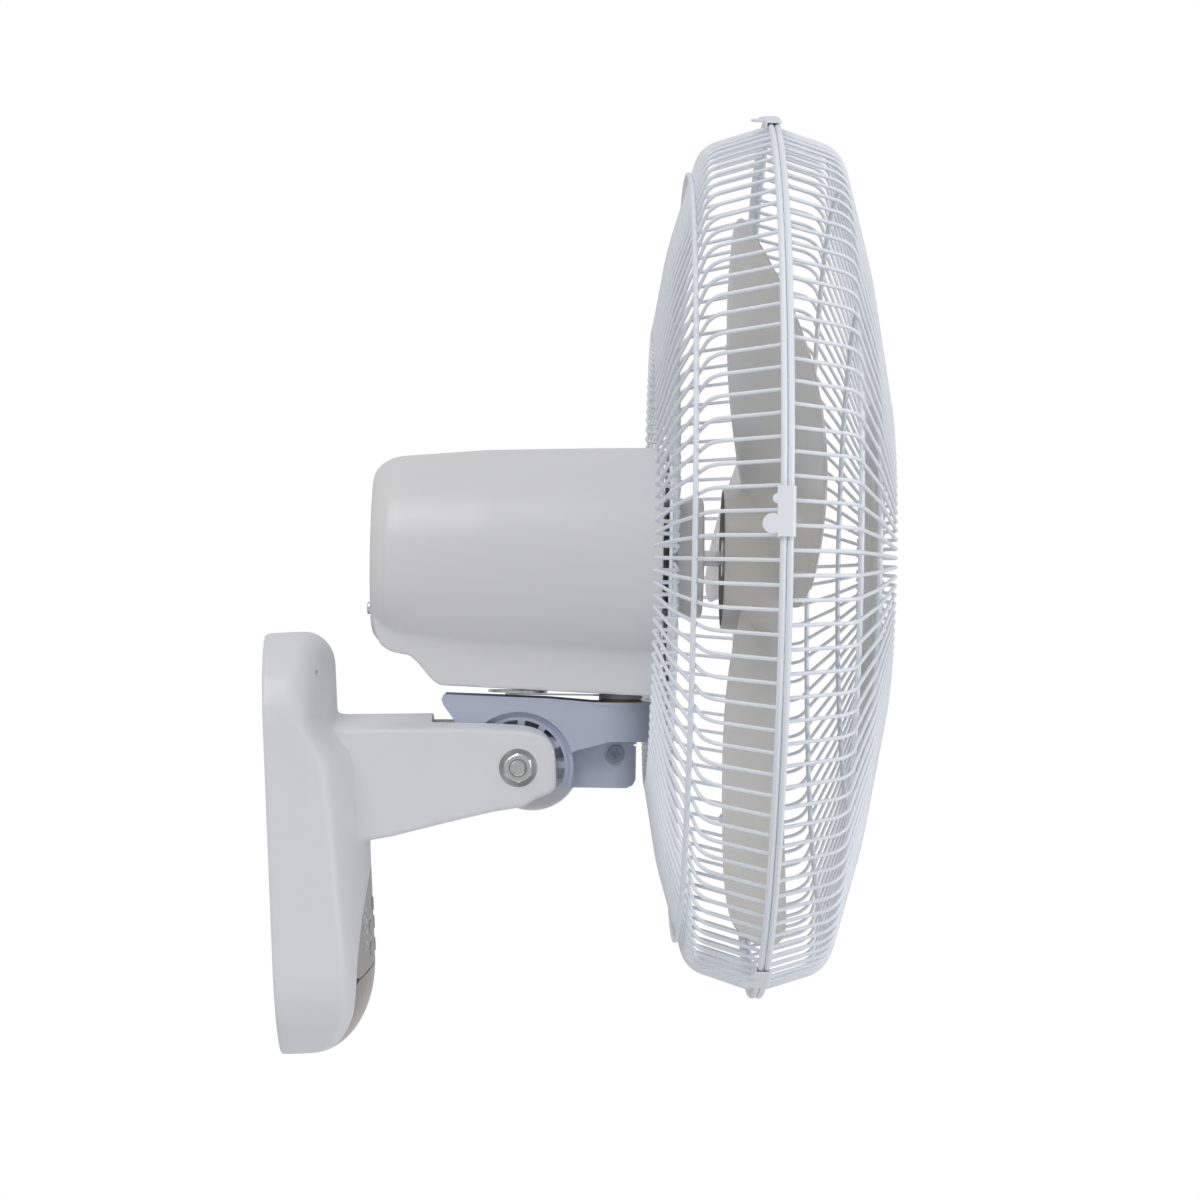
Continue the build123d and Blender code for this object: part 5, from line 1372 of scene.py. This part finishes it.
# ---------------------------------------------------------------- stage
@dataclass
class Studio:
    """Floor, soft light and the camera at the photograph's angle."""

    eye: tuple[float, float, float] = (-1.962, -0.1435, 0.1168)
    roll_deg: float = 2.3
    focal_mm: float = 116.3
    shift_x: float = 0.0417
    floor_up: float = -0.42
    floor_reach: float = 6.0
    dome_low: float = 0.2
    dome_high: float = 0.5
    mirror_boost: float = 1.8
    # soft lamps as (name, place, watts, side), both pointed at the fan's middle
    middle: Point = (0.0, -0.15, 0.1)
    lamps: tuple[tuple[str, Point, float, float], ...] = (
        ("key_light", (-1.5, 0.7, 1.7), 17, 1.3),
        ("front_light", (-0.9, -2.0, 0.5), 14, 1.1),
    )

    def camera(self) -> None:
        """Camera on the fan's left side, looking along +X."""
        data = bpy.data.cameras.new("camera")
        data.lens = self.focal_mm
        data.sensor_width = 36.0
        data.shift_x = self.shift_x
        data.clip_end = 50
        camera = new_object("camera", data)
        lean = radians(self.roll_deg)
        right = Vector((0, -cos(lean), -sin(lean)))
        up = Vector((0, -sin(lean), cos(lean)))
        back = Vector((-1, 0, 0))
        turn = Matrix((right, up, back)).transposed().to_4x4()
        camera.matrix_world = Matrix.Translation(self.eye) @ turn
        bpy.context.scene.camera = camera

    def world(self) -> None:
        """Even studio light, and a white field behind the object."""
        world = bpy.data.worlds.new("studio")
        bpy.context.scene.world = world
        tree = blank_tree(world)
        path = add_node(tree, "ShaderNodeLightPath")
        towards = add_node(tree, "ShaderNodeTexCoord")
        height = add_node(tree, "ShaderNodeSeparateXYZ", {"Vector": towards.outputs["Generated"]})
        dome = add_node(
            tree, "ShaderNodeMapRange",
            {"Value": height.outputs["Z"], 1: -0.5, 2: 0.9, 3: self.dome_low, 4: self.dome_high},
        )
        boost = add_node(
            tree, "ShaderNodeMapRange",
            {"Value": path.outputs["Is Glossy Ray"], 3: 1.0, 4: self.mirror_boost},
        )
        lit = add_node(
            tree, "ShaderNodeMath", {0: dome.outputs[0], 1: boost.outputs[0]}, operation="MULTIPLY"
        )
        strength = add_node(
            tree, "ShaderNodeMix", {0: path.outputs["Is Camera Ray"], 2: lit.outputs[0], 3: 1.0}
        )
        light = add_node(
            tree, "ShaderNodeBackground", {"Color": (1, 1, 1, 1), "Strength": strength.outputs[0]}
        )
        add_node(tree, "ShaderNodeOutputWorld", {"Surface": light.outputs[0]})

    def lamp(self, name: str, at: Point, power: float, size: float) -> None:
        """Hang a square soft lamp.

        Args:
            name: Its name.
            at: Where it hangs.
            power: Its power in watts.
            size: Side of the square in metres.
        """
        data = bpy.data.lights.new(name, "AREA")
        data.energy = power
        data.size = size
        lamp = new_object(name, data)
        lamp.location = at
        lamp.rotation_euler = (Vector(self.middle) - Vector(at)).to_track_quat("-Z", "Y").to_euler()

    def floor(self) -> None:
        """A pale floor that shows as white and keeps the object's shadow."""
        data = bpy.data.meshes.new("floor")
        reach = self.floor_reach
        corners = [(x, y, 0) for x, y in oblong((-reach, -reach), (reach, reach))]
        data.from_pydata(corners, [], [(0, 1, 2, 3)])
        data.transform(Matrix.Translation((0, 0, self.floor_up)))
        floor = new_object("floor", data)
        material = bpy.data.materials.new("pale_studio_floor")
        tree = blank_tree(material)
        path = add_node(tree, "ShaderNodeLightPath")
        paint = add_node(tree, "ShaderNodeBsdfDiffuse", {"Color": linear("F4F4F4")})
        white = add_node(tree, "ShaderNodeEmission", {"Color": (1, 1, 1, 1), "Strength": 1.0})
        mixed = add_node(
            tree, "ShaderNodeMixShader",
            {0: path.outputs["Is Camera Ray"], 1: paint.outputs[0], 2: white.outputs[0]},
        )
        add_node(tree, "ShaderNodeOutputMaterial", {"Surface": mixed.outputs[0]})
        data.materials.append(material)

    def build(self) -> None:
        """Set up everything round the object."""
        bpy.context.scene.view_settings.view_transform = "Standard"
        self.camera()
        self.world()
        self.floor()
        for lamp in self.lamps:
            self.lamp(*lamp)


# ---------------------------------------------------------------- build
def dress_carried_nodes() -> None:
    """Give every CAD node that stays its finish."""
    for finish_name, nodes in CARRIED_OVER.items():
        for name in nodes:
            dress(frame["nodes"][name], getattr(Finishes, finish_name))


def place_on(piece: bpy.types.Object, body: str, slot: str, *nodes: str) -> None:
    """Let a piece ride on a body in place of CAD nodes, and log it.

    Args:
        piece: The piece.
        body: Name of the body.
        slot: The record's material slot; not used.
        nodes: CAD nodes that it stands for.
    """
    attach(piece, body)
    if nodes:
        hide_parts(*nodes)
    log.info("%s rides on %s, %d faces", piece.name, body, len(piece.data.polygons))


def main() -> None:
    """Build the fan's looks in order."""
    Studio().build()
    dress_carried_nodes()
    casing = Casing()
    place_on(casing.build(), "base", "casing_plastic", "base_casing")
    place_on(casing.panel(), "base", "panel_plastic", "control_panel")
    place_on(casing.lens(), "base", "lens_plastic", "ir_lens")
    place_on(MotorCover().build(), "head", "housing_plastic", "motor_housing")
    rear = Guard(
        name="rear_wire_guard",
        corners=[
            (120.35, 217.15), (86.6, 206.2), (71.6, 156.0), (65.6, 121.0), (63.8, 112.6), (75.4, 110.4),
            (75.4, 56.0),
        ],
        radii=[14, 120, 90, 2.6, 3],
        first_deg=-0.7,
        hoops=[(118.9, 219.7, 1.55), (80.14, 192.8, 1.3)],
    )
    place_on(rear.build(), "head", "guard_wire", "rear_guard", "rear_ring", "rear_hoop")
    front = Guard(
        name="front_wire_guard",
        corners=[
            (120.8, 217.15), (153.6, 206.4), (168.6, 152.0), (181.8, 84.0), (176.2, 81.0), (176.2, 44.0),
        ],
        radii=[14, 150, 2.4, 2],
        first_deg=0.5,
        hoops=[(122.1, 219.7, 1.55), (156.7, 186.3, 1.3), (169.8, 133.5, 1.3)],
    )
    place_on(front.build(), "head", "guard_wire", "front_guard", "front_ring", "front_hoops")
    place_on(FanWheel().build(), "rotor", "blade_plastic", "blade_wheel")
    trim = Trim()
    place_on(trim.badge(), "head", "housing_plastic", "badge")
    place_on(trim.guard_nut(), "head", "housing_plastic", "guard_nut")
    place_on(trim.pivot_nut(), "base", "zinc_steel", "pivot_nut")


if __name__ == "__main__":
    logging.basicConfig(level=logging.INFO, format="%(message)s")
    main()
